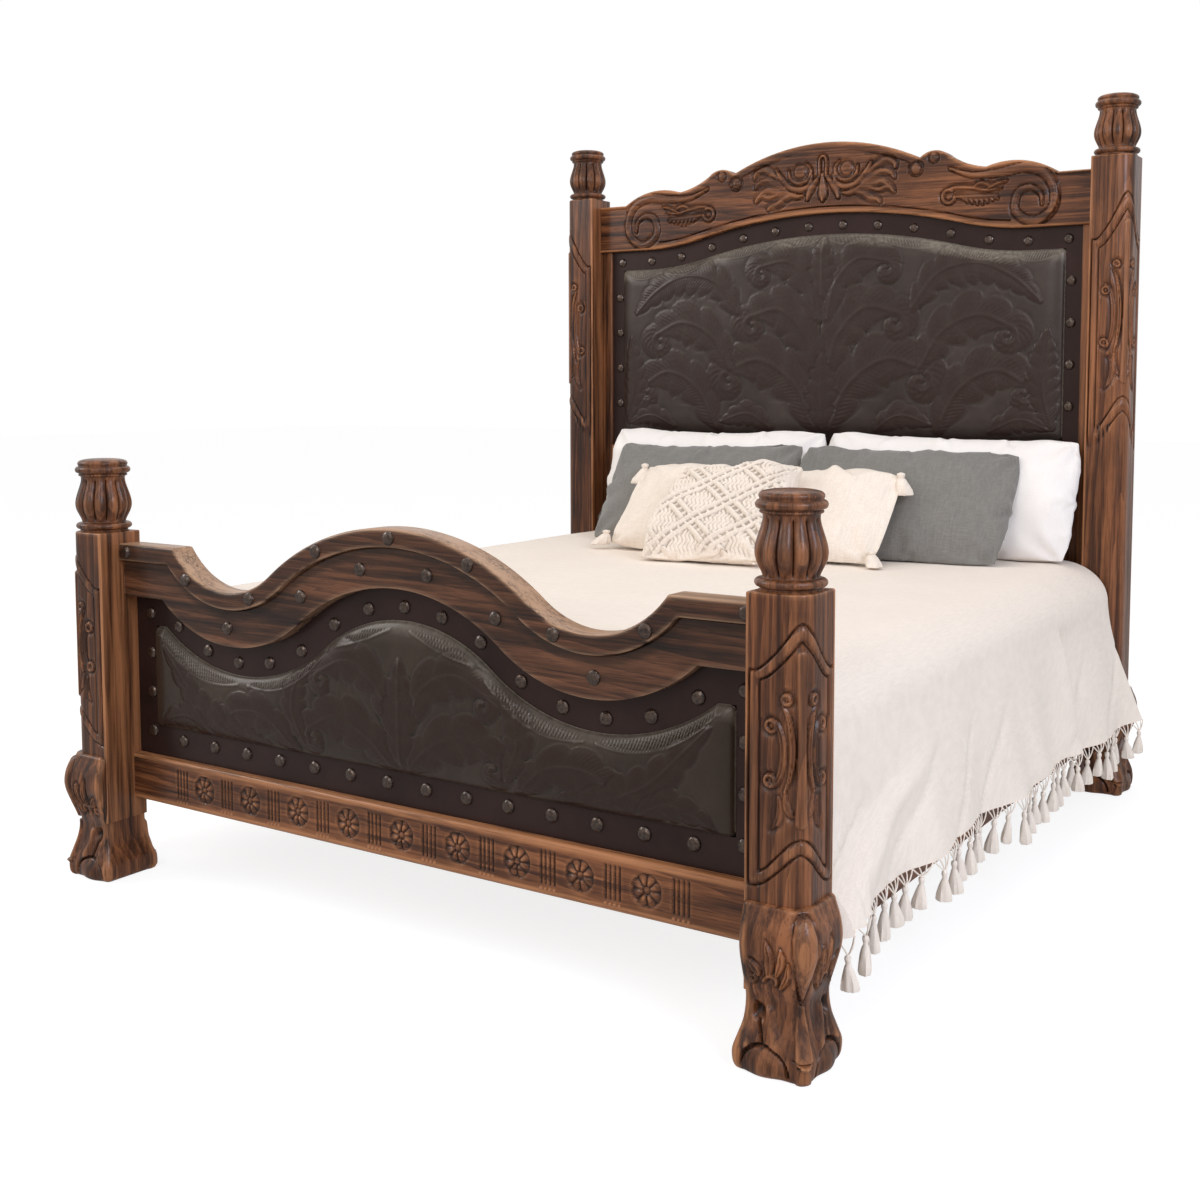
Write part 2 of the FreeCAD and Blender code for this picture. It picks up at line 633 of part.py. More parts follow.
receiver_blank = box(
    "receiver_blank", (receiver_inner, f"{receiver_centre} + receiver_width / 2"),
    (inner_y, f"{inner_y} + plate_thickness"),
    (f"{plate_middle} - receiver_height / 2", f"{plate_middle} + receiver_height / 2"))
receiver = cut("receiver", receiver_blank, *hook_slots)
fitting_recess = fuse("fitting_recess", receiver_blank, *hook_wells)
keep(quarters("hook_plate_group", hook_plate), "rail_hook_plates")
keep(quarters("receiver_group", receiver), "post_receiver_plates")


def screw(name, tip_axis, shank, place):
    # A round head over a plain shank, drawn along +Z and turned to its own direction
    head = doc.addObject("Part::Cylinder", f"{name}_head")
    bind(head, "Radius", "screw_head_r")
    bind(head, "Height", "screw_head_height")
    head.Placement.Rotation = FreeCAD.Rotation(Vector(0, 0, 1), tip_axis)
    stem = doc.addObject("Part::Cylinder", f"{name}_stem")
    bind(stem, "Radius", "screw_shank_r")
    bind(stem, "Height", f"screw_head_height + {shank}")
    stem.Placement.Rotation = FreeCAD.Rotation(Vector(0, 0, 1), tip_axis)
    for half in (head, stem):
        for axis, value in zip("xyz", place):
            bind(half, f"Placement.Base.{axis}", value)
    return fuse(name, head, stem)


def group_of(name, pieces):
    group = doc.addObject("Part::Compound", name)
    group.Links = pieces
    return group


head_x = f"{rail_inner_x} - screw_head_height"
hook_screw_rows = (f"{inner_y} - hook_screw_inset", f"{inner_y} - hook_plate_length + hook_screw_inset")
hook_screws = [
    screw(f"hook_screw_{number}", Vector(1, 0, 0), "screw_length",
          (head_x, hook_screw_rows[number // 2], f"{plate_middle} + {(-1) ** number} * hook_screw_rise"))
    for number in range(4)]
keep(quarters("hook_screw_group", group_of("hook_screws", hook_screws)), "hook_plate_screws")
receiver_screw_rise = "(receiver_height / 2 - receiver_screw_inset)"
receiver_screws = [
    screw(f"receiver_screw_{number}", Vector(0, 1, 0), "screw_length",
          (f"{receiver_inner} + receiver_screw_edge", f"{inner_y} - screw_head_height",
           f"{plate_middle} + {(-1) ** number} * {receiver_screw_rise}"))
    for number in range(2)]
keep(quarters("receiver_screw_group", group_of("receiver_screws", receiver_screws)), "receiver_plate_screws")

# Footboard woodwork: a curved cap and apron over a carved bottom rail, tenoned into the posts
foot_half = mm(inner_x)
foot_back = f"-({inner_y})"
foot_end_z = f"{foot_flat_z} - cap_height"
cap_depth = "(post_side - cap_setback)"
cap_tongue = tongue("cap_tongue", foot_back, cap_depth, foot_end_z, foot_flat_z)
cap_board = profile_board(
    "cap_board", between_waves(foot_wave, 0, mm("cap_height"), foot_half), foot_back, cap_depth)
keep(tenoned("cap", cap_board, cap_tongue), "footboard_cap")

apron_thickness = "(post_side - apron_setback - panel_thickness)"
apron_back = foot_panel_front
apron_end_low = f"{foot_flat_z} - apron_drop"
apron_tongue = tongue("apron_tongue", apron_back, apron_thickness, apron_end_low, foot_end_z)
apron_board = profile_board(
    "apron_board", between_waves(foot_wave, mm("cap_height + glue_gap"), mm("apron_drop"), foot_half),
    apron_back, apron_thickness)
keep(tenoned("apron", apron_board, apron_tongue), "footboard_apron")

foot_rail_thickness = "(post_side - foot_rail_setback)"
foot_rail_tongue = tongue(
    "foot_rail_tongue", foot_back, foot_rail_thickness, "foot_rail_low", "foot_rail_high")
rail_body = new_body("foot_rail_board")
rail_sketch = sketch_on(rail_body, "XZ_Plane", inner_y)
rectangle(rail_sketch, (f"-({inner_x})", inner_x), ("foot_rail_low", "foot_rail_high"))
pad(rail_body, rail_sketch, foot_rail_thickness)
recess = sketch_on(rail_body, "XZ_Plane", f"{inner_y} + {foot_rail_thickness}")
rosette_middle = mm("(foot_rail_low + foot_rail_high) / 2")
for number, place in enumerate(row_of(rosette_count, f"{inner_x} - rosette_inset")):
    circle = Part.Circle(Vector(place, rosette_middle), Vector(0, 0, 1), mm("rosette_r"))
    recess.addGeometry(circle, False)
    radius = recess.addConstraint(Sketcher.Constraint("Radius", number, mm("rosette_r")))
    bind(recess, f"Constraints[{radius}]", "rosette_r")
rosettes = rail_body.newObject("PartDesign::Pocket", "foot_rail_rosettes")
rosettes.Profile = recess
bind(rosettes, "Length", "rosette_depth")
keep(tenoned("foot_rail", rail_body, foot_rail_tongue), "footboard_bottom_rail")

foot_panel_low = mm("foot_rail_high")
keep(profile_board(
    "foot_panel", under_wave(foot_wave, mm("apron_drop - panel_lap"), foot_half, foot_panel_low),
    foot_back, "panel_thickness"), "footboard_panel")
hide_drop = mm("apron_drop + glue_gap")
keep(profile_board(
    "foot_hide", under_wave(foot_wave, hide_drop, foot_half, foot_panel_low),
    foot_panel_front, "hide_thickness"), "footboard_leather_border")


def leather_pad(name, wave, drop, half, low, back):
    # Sides swell out over the border, then draw in to the crown
    body = new_body(name)
    sections = []
    for rise, draw in pad_steps:
        inset = mm("pad_draw") * draw
        sketch = sketch_on(body, "XZ_Plane", f"-({back}) + glue_gap + pad_rise * {rise}")
        sections.append(outline(sketch, under_wave(wave, drop + inset, half - inset, low + inset)))
    loft(body, sections, True)
    return body


keep(leather_pad(
    "foot_pad", foot_wave, mm("foot_pad_drop"), mm(f"{inner_x} - foot_pad_inset"),
    mm("foot_rail_high + foot_pad_rise"), foot_hide_front), "footboard_leather_pad")

# Headboard woodwork: a carved crest over stiles, a middle rail and two fielded panels
crest_half = foot_half
end = mm(crest_end_z)
notch, roll, saddle, scroll = (
    (mm(f"{inner_x} - crest_{name}_inset"), mm(f"{crest_end_z} + crest_{name}_rise"))
    for name in ("notch", "roll", "saddle", "scroll"))
roll_end = (2 * roll[0] - notch[0], notch[1])
saddle_middle = ((roll_end[0] + saddle[0]) / 2, (roll_end[1] + saddle[1]) / 2 - mm("crest_saddle_sag"))
scroll_end = (mm(f"{inner_x} - crest_scroll_end"), end)
crest_edges = [arc(flipped(notch), (0, mm(f"{crest_end_z} + crest_peak_rise")), notch)]
for turn in (lambda point: point, flipped):
    crest_edges += [
        arc(turn(notch), turn(roll), turn(roll_end)),
        arc(turn(roll_end), turn(saddle_middle), turn(saddle)),
        arc(turn(saddle), turn(scroll), turn(scroll_end)),
        line(turn(scroll_end), turn((crest_half, end))),
        line(turn((crest_half, end)), turn((crest_half, mm(head_arch_low)))),
    ]
crest_edges += head_wave.edges(0, crest_half)
crest_back = f"{inner_y} + crest_setback + crest_thickness"
crest_tongue = tongue("crest_tongue", crest_back, "crest_thickness", head_arch_low, crest_end_z)
crest_board = profile_board("crest_board", crest_edges, crest_back, "crest_thickness")
keep(tenoned("crest", crest_board, crest_tongue), "headboard_crest")

head_rails = []
for name, low, high in (("mid_rail", mid_rail_low, "mid_rail_high"),
                        ("head_rail", "head_rail_low", head_rail_high)):
    tenon = box(
        f"{name}_tongue",
        (f"-({inner_x}) + tenon_shoulder", f"{inner_x} - tenon_shoulder"),
        (f"{stile_middle} - tenon_thickness / 2", f"{stile_middle} + tenon_thickness / 2"),
        (f"{low} + tenon_shoulder", f"{high} - tenon_shoulder"))
    core = box(f"{name}_core", (f"-({stile_inner_x})", stile_inner_x), (stile_front, stile_back), (low, high))
    head_rails.append((fuse(name, core, tenon), tenon))
keep(head_rails[0][0], "headboard_middle_rail")
keep(head_rails[1][0], "headboard_bottom_rail")
stile_blank = box(
    "stile_blank", (stile_inner_x, inner_x), (stile_front, stile_back),
    ("head_rail_low", f"{head_arch_low} - glue_gap"))
stile = cut("stile", stile_blank, *(tenon for rail, tenon in head_rails))
keep(stile, "headboard_stile_right")
keep(mirror("stile_left", stile, "x"), "headboard_stile_left")
muntin_up = (head_rail_high, mid_rail_low)
keep(box("muntin", ("-muntin_width / 2", "muntin_width / 2"), (stile_front, stile_back), muntin_up),
     "headboard_muntin")


def fielded_panel(name):
    # A raised field inside a bevelled edge, facing the bed
    body = new_body(name)
    back = f"{stile_middle} + lower_panel_thickness / 2"
    full = [mm(side) for side in ("muntin_width / 2", stile_inner_x, *muntin_up)]
    sections = []
    for depth, inset in (("lower_panel_thickness - lower_panel_edge", 0), ("lower_panel_thickness", 1)):
        shrink = mm("lower_panel_field") * inset
        left, right, low, high = full[0] + shrink, full[1] - shrink, full[2] + shrink, full[3] - shrink
        sketch = sketch_on(body, "XZ_Plane", f"-({back}) + {depth}")
        sections.append(outline(sketch, polygon([(left, low), (right, low), (right, high), (left, high)])))
    base = sketch_on(body, "XZ_Plane", f"-({back})")
    rectangle(base, ("muntin_width / 2", stile_inner_x), muntin_up)
    pad(body, base, "lower_panel_thickness - lower_panel_edge")
    loft(body, sections, True)
    return body


lower_panel = fielded_panel("lower_panel")
keep(lower_panel, "headboard_lower_panel_right")
keep(mirror("lower_panel_left", lower_panel, "x"), "headboard_lower_panel_left")
head_half = mm(stile_inner_x)
head_panel_low = mm("mid_rail_high")
head_drop = mm("glue_gap")
keep(profile_board(
    "head_panel", under_wave(head_wave, head_drop, head_half, head_panel_low),
    f"{head_panel_front} + panel_thickness", "panel_thickness"), "headboard_panel")
keep(profile_board(
    "head_hide", under_wave(head_wave, head_drop, head_half, head_panel_low),
    head_panel_front, "hide_thickness"), "headboard_leather_border")
keep(leather_pad(
    "head_pad", head_wave, mm("head_pad_drop"), mm(f"{stile_inner_x} - head_pad_inset"),
    mm("mid_rail_high + head_pad_rise"), head_hide_front), "headboard_leather_pad")


# Clavos: hammered nail domes with a shank, facing the foot of the bed
def clavos(label, places, front):
    radius = mm("clavo_r")
    rise = mm("clavo_rise")
    ball = (radius ** 2 + rise ** 2) / (2 * rise)
    shank_r = mm("clavo_shank_r")
    depth = mm("clavo_shank")
    profile = Part.Wire([edge.toShape() for edge in (
        line((0, rise), (0, -depth)),
        line((0, -depth), (shank_r, -depth)),
        line((shank_r, -depth), (shank_r, 0)),
        line((shank_r, 0), (radius, 0)),
        arc((radius, 0), (radius / 2, math.sqrt(ball ** 2 - radius ** 2 / 4) - ball + rise), (0, rise)),
    )])
    nail = Part.Face(profile).revolve(Vector(), Vector(0, 1, 0), 360)
    nail.rotate(Vector(), Vector(1, 0, 0), 180)
    copies = [nail.translated(Vector(x, front, z)) for x, z in places]
    group = doc.addObject("Part::Feature", label)
    group.Shape = Part.makeCompound(copies)
    return keep(group, label)


cap_places = row_of(cap_clavo_count, f"{inner_x} - cap_clavo_inset")
cap_middle = mm("cap_height / 2")
clavos("cap_clavos", [(x, foot_wave.height(cap_middle, x, foot_half)) for x in cap_places],
       mm(f"{foot_back} - {cap_depth}"))
apron_middle = mm("(cap_height + apron_drop) / 2")
apron_reaches = ("apron_clavo_inner", "apron_clavo_middle", f"{inner_x} - apron_clavo_outer")
apron_places = [side * mm(reach) for reach in apron_reaches for side in (-1, 1)]
clavos("apron_clavos", [(x, foot_wave.height(apron_middle, x, foot_half)) for x in apron_places],
       mm(f"{apron_back} - {apron_thickness}"))
row_drop = mm("border_row_drop")
column_x = mm(f"{inner_x} - border_column_inset")
column_top = foot_wave.corner(row_drop, foot_half)[1]
column_step = (column_top - mm(f"{border_low_z} + border_column_rise")) / (column_count - 1)
foot_places = [(x, foot_wave.height(row_drop, x, foot_half))
               for x in row_of(foot_row_count, f"{inner_x} - border_row_inset")]
foot_places += [(side * column_x, column_top - number * column_step)
                for number in range(column_count) for side in (-1, 1)]
foot_places += [(x, mm(border_low_z)) for x in row_of(low_row_count, f"{inner_x} - border_low_inset")]
clavos("footboard_clavos", foot_places, mm(foot_hide_front))
head_row_drop = mm("head_row_drop")
head_row = row_of(head_row_count, f"{stile_inner_x} - head_row_inset")
head_column_x = mm(f"{stile_inner_x} - head_column_inset")
head_column_top = mm(f"{head_arch_low} - head_column_drop")
head_column_step = (head_column_top - mm(head_low_z)) / column_count
head_places = [(x, head_wave.height(head_row_drop, x, head_half)) for x in head_row]
head_places += [(side * head_column_x, head_column_top - number * head_column_step)
                for number in range(column_count) for side in (-1, 1)]
head_places += [(x, mm(head_low_z)) for x in head_row]
clavos("headboard_clavos", head_places, mm(head_hide_front))

# Posts with their feet and finials: the right side is built and the left mirrors it
ends = (
    ("foot", f"-({post_y})", "foot_post_top", (cap_tongue, apron_tongue, foot_rail_tongue)),
    ("head", post_y, "head_post_top", (crest_tongue,)),
)
for end_name, along, top, tongues in ends:
    blank = post_blank(f"{end_name}_post_blank", along, top)
    turned = finial(f"{end_name}_finial_right", along, top)
    foot, dowel = claw_foot(f"{end_name}_claw_right", along, blank, end_name == "foot")
    recess = fitting_recess if end_name == "head" else mirror("foot_fitting_recess", fitting_recess, "y")
    post = cut(f"{end_name}_post_right", blank, turned, dowel, recess, *tongues)
    for piece, label in ((post, "post"), (turned, "finial"), (foot, "claw_foot")):
        keep(piece, f"{end_name}_{label}_right")
        keep(mirror(f"{end_name}_{label}_mirrored", piece, "x"), f"{end_name}_{label}_left")

# Side rails, ledgers, slats and the centre support
rail_up = ("rail_low", "rail_high")
rail_blank = box("rail_blank", (rail_inner_x, rail_outer_x), (f"-({inner_y})", inner_y), rail_up)
side_rail = cut("side_rail", rail_blank, hook_web, mirror("hook_web_foot", hook_web, "y"))
keep(side_rail, "side_rail_right")
keep(mirror("side_rail_mirrored", side_rail, "x"), "side_rail_left")
ledger_up = (ledger_low, ledger_top)
ledger = box(
    "ledger", (f"{rail_inner_x} - ledger_side", rail_inner_x), (f"-{ledger_half}", ledger_half), ledger_up)
notch_reach = "hook_plate_length + fitting_room"
hook_cleared = cut("ledger_notched", ledger, *(
    box(f"ledger_notch_{number}", (f"{rail_inner_x} - screw_head_height - fitting_room", rail_inner_x),
        (f"{side} * ({inner_y}) - {notch_reach}", f"{side} * ({inner_y}) + {notch_reach}"), ledger_up)
    for number, side in enumerate((-1, 1))))
keep(hook_cleared, "slat_ledger_right")
keep(mirror("ledger_mirrored", hook_cleared, "x"), "slat_ledger_left")
ledger_screw_x = f"{rail_inner_x} - ledger_side - screw_head_height"
ledger_screws = [
    screw(f"ledger_screw_{number}", Vector(1, 0, 0), "ledger_screw_length",
          (ledger_screw_x, share_of(number, ledger_screw_count, f"{ledger_half} - ledger_screw_inset"),
           f"{ledger_low} + ledger_side / 2"))
    for number in range(ledger_screw_count)]
right_screws = group_of("ledger_screws_right", ledger_screws)
left_screws = mirror("ledger_screws_left", right_screws, "x")
both_screws = group_of("ledger_screws_both", [right_screws, left_screws])
keep(both_screws, "ledger_screws")
slat_half = f"{rail_inner_x} - slat_play"
slats = []
for number in range(slat_count):
    middle = share_of(number, slat_count, f"{ledger_half} - slat_end_gap - slat_width / 2")
    slat_along = (f"{middle} - slat_width / 2", f"{middle} + slat_width / 2")
    slats.append(box(f"slat_{number}", (f"-({slat_half})", slat_half), slat_along, (ledger_top, slat_top)))
keep(group_of("slat_group", slats), "slats")
beam_low = f"({ledger_top} - beam_depth)"
beam = box(
    "beam", ("-beam_width / 2", "beam_width / 2"), (f"-{beam_half}", beam_half), (beam_low, ledger_top))
keep(beam, "centre_beam")
for number in range(leg_count):
    middle = share_of(number, leg_count, f"{beam_half} - leg_inset")
    leg_along = (f"{middle} - leg_side / 2", f"{middle} + leg_side / 2")
    leg = box(f"leg_{number}", ("-leg_side / 2", "leg_side / 2"), leg_along, ("0", beam_low))
    keep(leg, f"centre_leg_{number + 1}")


# Bedding: foundation, mattress, fringed bedspread and pillows
def soft_block(name, low, height, edge):
    body = new_body(name)
    sketch = sketch_on(body, "XY_Plane", low)
    across = ("-mattress_width / 2", "mattress_width / 2")
    rectangle(sketch, across, ("-mattress_length / 2", "mattress_length / 2"))
    block = pad(body, sketch, height)
    upright = fillet(body, block, "mattress_corner", lambda item: abs(
        item.Vertexes[0].Z - item.Vertexes[-1].Z) > same_place)
    fillet(body, upright, edge, lambda item: abs(item.BoundBox.ZLength) < same_place)
    return body


keep(soft_block("foundation_block", foundation_low, "foundation_height", "foundation_edge"), "foundation")
keep(soft_block("mattress_block", mattress_low, "mattress_height", "mattress_edge"), "mattress")

spread_half = mm(spread_end)
station_y = [-spread_half + 2 * spread_half * number / (hem_stations - 1) for number in range(hem_stations)]


def hem_place(along):
    share = (along + spread_half) / (2 * spread_half)
    fold = math.sin(2 * math.pi * fold_count * share)
    return mm(f"{rail_outer_x} + hem_gap") + mm("hem_flare") * share ** 2 + mm("fold_depth") * fold


def spread_section(hem, inset):
    # The right half of one face of the cloth, from the hem up to the middle of the bed
    top = mm(spread_top) - inset
    shoulder = (mm(shoulder_x) - inset, mm(f"{spread_top} - shoulder_drop"))
    crown = (mm(f"{shoulder_x} - shoulder_run"), top)
    middle = (shoulder[0] - mm("shoulder_run") * eighth, top - mm("shoulder_drop") * eighth)
    return (hem - inset, mm("hem_z")), shoulder, middle, crown


bedspread_body = new_body("bedspread_shell")
spread_sections = []
for along in station_y:
    sketch = sketch_on(bedspread_body, "XZ_Plane", str(-along))
    faces = [spread_section(hem_place(along), inset) for inset in (0, mm("spread_thickness"))]
    for hem, shoulder, middle, crown in faces:
        outline(sketch, [
            line(hem, shoulder),
            arc(shoulder, middle, crown),
            line(crown, flipped(crown)),
            arc(flipped(crown), flipped(middle), flipped(shoulder)),
            line(flipped(shoulder), flipped(hem)),
        ])
    outline(sketch, [line(faces[0][0], faces[1][0]), line(flipped(faces[0][0]), flipped(faces[1][0]))])
    spread_sections.append(sketch)
loft(bedspread_body, spread_sections, True)
tuck_half = f"{shoulder_x} - shoulder_run"
tuck_along = (f"-({spread_end})", f"-({spread_end}) + spread_thickness")
tuck_up = (f"{spread_top} - spread_tuck", spread_top)
tuck = box("bedspread_tuck", (f"-({tuck_half})", tuck_half), tuck_along, tuck_up)
keep(fuse("bedspread_joined", bedspread_body, tuck), "bedspread")


def tassel(head, direction, length):
    # A tied head that flares to a cut end
    return Part.makeCone(mm("tassel_head_r"), mm("tassel_r"), mm(length), head, direction)


fringe = []
hem_middle = mm("spread_thickness / 2")
for number in range(2 * hem_stations - 1):
    lower, upper = station_y[number // 2], station_y[(number + 1) // 2]
    place = (hem_place(lower) + hem_place(upper)) / 2 - hem_middle
    along = min(max((lower + upper) / 2, mm("tassel_r") - spread_half), spread_half - mm("tassel_r"))
    for side in (-1, 1):
        head = Vector(side * place, along, mm("hem_z + tassel_seam"))
        fringe.append(tassel(head, Vector(0, 0, -1), "tassel_length"))
fringe_group = doc.addObject("Part::Feature", "fringe")
fringe_group.Shape = Part.makeCompound(fringe)
keep(fringe_group, "bedspread_tassels")


def pillow(label, kind, width, across):
    # Four corners with sides drawn in between them, swelling from the seam to both faces
    body = new_body(f"{label}_body")
    half_width = mm(width) / 2
    half_height = mm(f"{kind}_height / 2")
    draw = mm("pillow_draw")
    sections = []
    for depth, share in pillow_steps:
        wide = half_width - half_height * (1 - share)
        tall = half_height * share
        sketch = sketch_on(body, "XZ_Plane", f"{kind}_swell * {depth}")
        outline(sketch, [
            arc((-wide, -tall), (0, -tall + draw * share), (wide, -tall)),
            arc((wide, -tall), (wide - draw * share, 0), (wide, tall)),
            arc((wide, tall), (0, tall - draw * share), (-wide, tall)),
            arc((-wide, tall), (-wide + draw * share, 0), (-wide, -tall)),
        ])
        sections.append(sketch)
    loft(body, sections, False)
    body.Placement = FreeCAD.Placement(Vector(), FreeCAD.Rotation(Vector(1, 0, 0), -mm(f"{kind}_lean")))
    doc.recompute()
    rest = mm(f"{spread_top} + soft_gap") - body.Shape.optimalBoundingBox(False, False).ZMin
    body.Placement.Base = Vector(across, mm(f"{inner_y} - {kind}_setback"), rest)
    return keep(body, label)


white_width = f"{inner_x} - white_side_gap - white_middle_gap"
white_x = mm(f"white_middle_gap + ({white_width}) / 2")
for side, name in ((-1, "left"), (1, "right")):
    pillow(f"white_pillow_{name}", "white", white_width, side * white_x)
    pillow(f"grey_pillow_{name}", "grey", "grey_width", side * mm("grey_x"))
lumbar = pillow("lumbar_pillow", "lumbar", "lumbar_width", mm("lumbar_x"))
pillow("woven_pillow", "woven", "woven_width", mm("woven_x"))
corner_tassels = []
for side in (-1, 1):
    for level in (-1, 1):
        corner = lumbar.Placement.multVec(Vector(
            side * mm("lumbar_width / 2 - tassel_seam"), 0, level * mm("lumbar_height / 2 - tassel_seam")))
        lift = max(0, mm(f"{spread_top} + soft_gap + tassel_r") - corner.z)
        head = corner + Vector(0, 0, lift)
        corner_tassels.append(tassel(head, Vector(side, 0, 0), "corner_tassel_length"))
tassel_group = doc.addObject("Part::Feature", "corner_tassels")
tassel_group.Shape = Part.makeCompound(corner_tassels)
keep(tassel_group, "lumbar_tassels")

# Recompute, test and write one file for each piece
doc.recompute()
for item in doc.Objects:
    if {"Invalid", "Error"} & set(item.State):
        raise RuntimeError(f"{item.Name} did not recompute: {item.State}")
os.makedirs("parts", exist_ok=True)
for piece in parts:
    shape = piece.Shape
    if shape.isNull() or not shape.isValid() or not shape.Solids:
        raise RuntimeError(f"{piece.Label} has no valid solid")
    shape.exportStep(f"parts/{piece.Label}.step")
    print(f"{piece.Label}: {len(shape.Solids)} solid(s), {shape.Volume / 1e6:.2f} litres")
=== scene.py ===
import math

import bpy
import numpy as np
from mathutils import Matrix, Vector, noise


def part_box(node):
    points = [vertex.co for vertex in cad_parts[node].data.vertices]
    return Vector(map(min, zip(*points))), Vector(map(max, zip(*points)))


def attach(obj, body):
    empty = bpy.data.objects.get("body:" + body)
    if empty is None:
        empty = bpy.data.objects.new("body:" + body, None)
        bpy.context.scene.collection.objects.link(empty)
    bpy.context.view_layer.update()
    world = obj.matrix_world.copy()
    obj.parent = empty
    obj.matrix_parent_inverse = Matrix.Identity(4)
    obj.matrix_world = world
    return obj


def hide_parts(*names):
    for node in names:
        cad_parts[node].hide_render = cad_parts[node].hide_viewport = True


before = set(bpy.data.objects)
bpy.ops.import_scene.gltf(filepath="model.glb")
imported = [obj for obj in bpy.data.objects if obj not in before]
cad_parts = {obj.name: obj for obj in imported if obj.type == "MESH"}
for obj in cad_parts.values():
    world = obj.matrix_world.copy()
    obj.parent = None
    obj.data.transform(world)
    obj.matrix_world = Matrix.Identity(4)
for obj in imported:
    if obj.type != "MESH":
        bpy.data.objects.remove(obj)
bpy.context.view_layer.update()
bpy.ops.object.select_all(action="DESELECT")
scene = bpy.context.scene
scene.view_settings.view_transform = "Standard"
print("frame loaded:", len(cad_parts), "nodes")


# Node tools for the studio and the finishes
def setInput(tree, socket, value):
    if isinstance(value, bpy.types.NodeSocket):
        tree.links.new(value, socket)
    elif socket.type == "RGBA" and len(value) == 3:
        socket.default_value = (*value, 1)
    else:
        socket.default_value = value


def addNode(tree, kind, inputs=None, **settings):
    node = tree.nodes.new("ShaderNode" + kind)
    for name, value in settings.items():
        setattr(node, name, value)
    for name, value in (inputs or {}).items():
        setInput(tree, node.inputs[name], value)
    return node


def mixed(tree, factor, first, second, blend="MIX"):
    node = addNode(tree, "Mix", data_type="RGBA", blend_type=blend)
    for place, value in ((0, factor), (6, first), (7, second)):
        setInput(tree, node.inputs[place], value)
    return node.outputs[2]


def worked(tree, operation, first, second):
    return addNode(tree, "Math", {0: first, 1: second}, operation=operation).outputs[0]


def summed(tree, *terms):
    # Values added up, each with its weight
    parts = [worked(tree, "MULTIPLY", value, weight) for value, weight in terms]
    total = parts[0]
    for part in parts[1:]:
        total = worked(tree, "ADD", total, part)
    return total


def ramped(tree, factor, *stops):
    node = addNode(tree, "ValToRGB", {0: factor})
    elements = node.color_ramp.elements
    for element, stop in zip((elements[0], elements[1]), (stops[0], stops[-1])):
        element.position, element.color = stop[0], (*stop[1], 1)
    for place, colour in stops[1:-1]:
        elements.new(place).color = (*colour, 1)
    return node.outputs[0]


def ranged(tree, value, low, high, first=0.0, last=1.0):
    return addNode(tree, "MapRange", {"Value": value, "From Min": low, "From Max": high,
                                      "To Min": first, "To Max": last}).outputs[0]


def stretched(tree, vector, scale):
    return addNode(tree, "Mapping", {"Vector": vector, "Scale": scale}).outputs[0]


def speckled(tree, vector, scale, detail, roughness):
    if isinstance(scale, tuple):  # a scale for each axis
        vector, scale = stretched(tree, vector, scale), 1.0
    return addNode(tree, "TexNoise", {"Vector": vector, "Scale": scale, "Detail": detail,
                                      "Roughness": roughness}).outputs[0]


def newGroup(name, **inputs):
    tree = bpy.data.node_groups.new(name, "ShaderNodeTree")
    outputs = dict(Color="Color", Roughness="Float", Height="Float")
    for way, sockets in (("INPUT", inputs), ("OUTPUT", outputs)):
        for label, kind in sockets.items():
            tree.interface.new_socket(label, in_out=way, socket_type="NodeSocket" + kind)
    return tree, tree.nodes.new("NodeGroupInput").outputs, tree.nodes.new("NodeGroupOutput").inputs


# Camera, floor and studio light; each lamp has its place, target, size, power and colour
studio = dict(
    eye=(2.1597, -3.4527, 1.2745), pitch=85.558, turn=32.888, lens=42.97, sensor=36, shift=(-.0269, -.0870),
    floorSize=60, floorDrop=.0005, floorDim=.3, floorGlow=.80, floorDiffuse=.36, sky=.52,
    lamps=(((4.9, -2.6, 3.3), (.2, -.1, .8), 2.4, 158, (.77, .83, 1)),
           ((1.0, -5.2, 3.4), (0, -.4, .8), 2.6, 62, (1, .97, .94)),
           ((-4.4, -3.0, 3.4), (0, -.5, .7), 2.2, 80, (1, .98, .97)),
           ((-.4, .7, 4.7), (0, .1, .7), 3.2, 50, (1, .93, .85))))


def makeCamera():
    bpy.ops.object.camera_add(location=studio["eye"])
    camera = bpy.context.object
    camera.rotation_euler = (math.radians(studio["pitch"]), 0, math.radians(studio["turn"]))
    camera.data.sensor_width = studio["sensor"]
    camera.data.lens = studio["lens"]
    camera.data.shift_x, camera.data.shift_y = studio["shift"]
    scene.camera = camera


def makeLamps():
    for place, target, size, power, tint in studio["lamps"]:
        bpy.ops.object.light_add(type="AREA", location=place)
        lamp = bpy.context.object
        lamp.data.shape = "DISK"
        lamp.data.size = size
        lamp.data.energy = power
        lamp.data.color = tint
        way = Vector(target) - lamp.location
        lamp.rotation_euler = way.to_track_quat("-Z", "Y").to_euler()


def makeSky():
    world = bpy.data.worlds.new("studioWorld")
    scene.world = world
    world.use_nodes = True
    tree = world.node_tree
    rays = addNode(tree, "LightPath").outputs
    seen = worked(tree, "MAXIMUM", rays["Is Camera Ray"], rays["Is Glossy Ray"])
    seen = worked(tree, "MAXIMUM", seen, rays["Is Transmission Ray"])
    background = tree.nodes["Background"].inputs
    setInput(tree, background["Color"], (1, 1, 1))
    setInput(tree, background["Strength"], ranged(tree, seen, 0, 1, studio["sky"], 1))


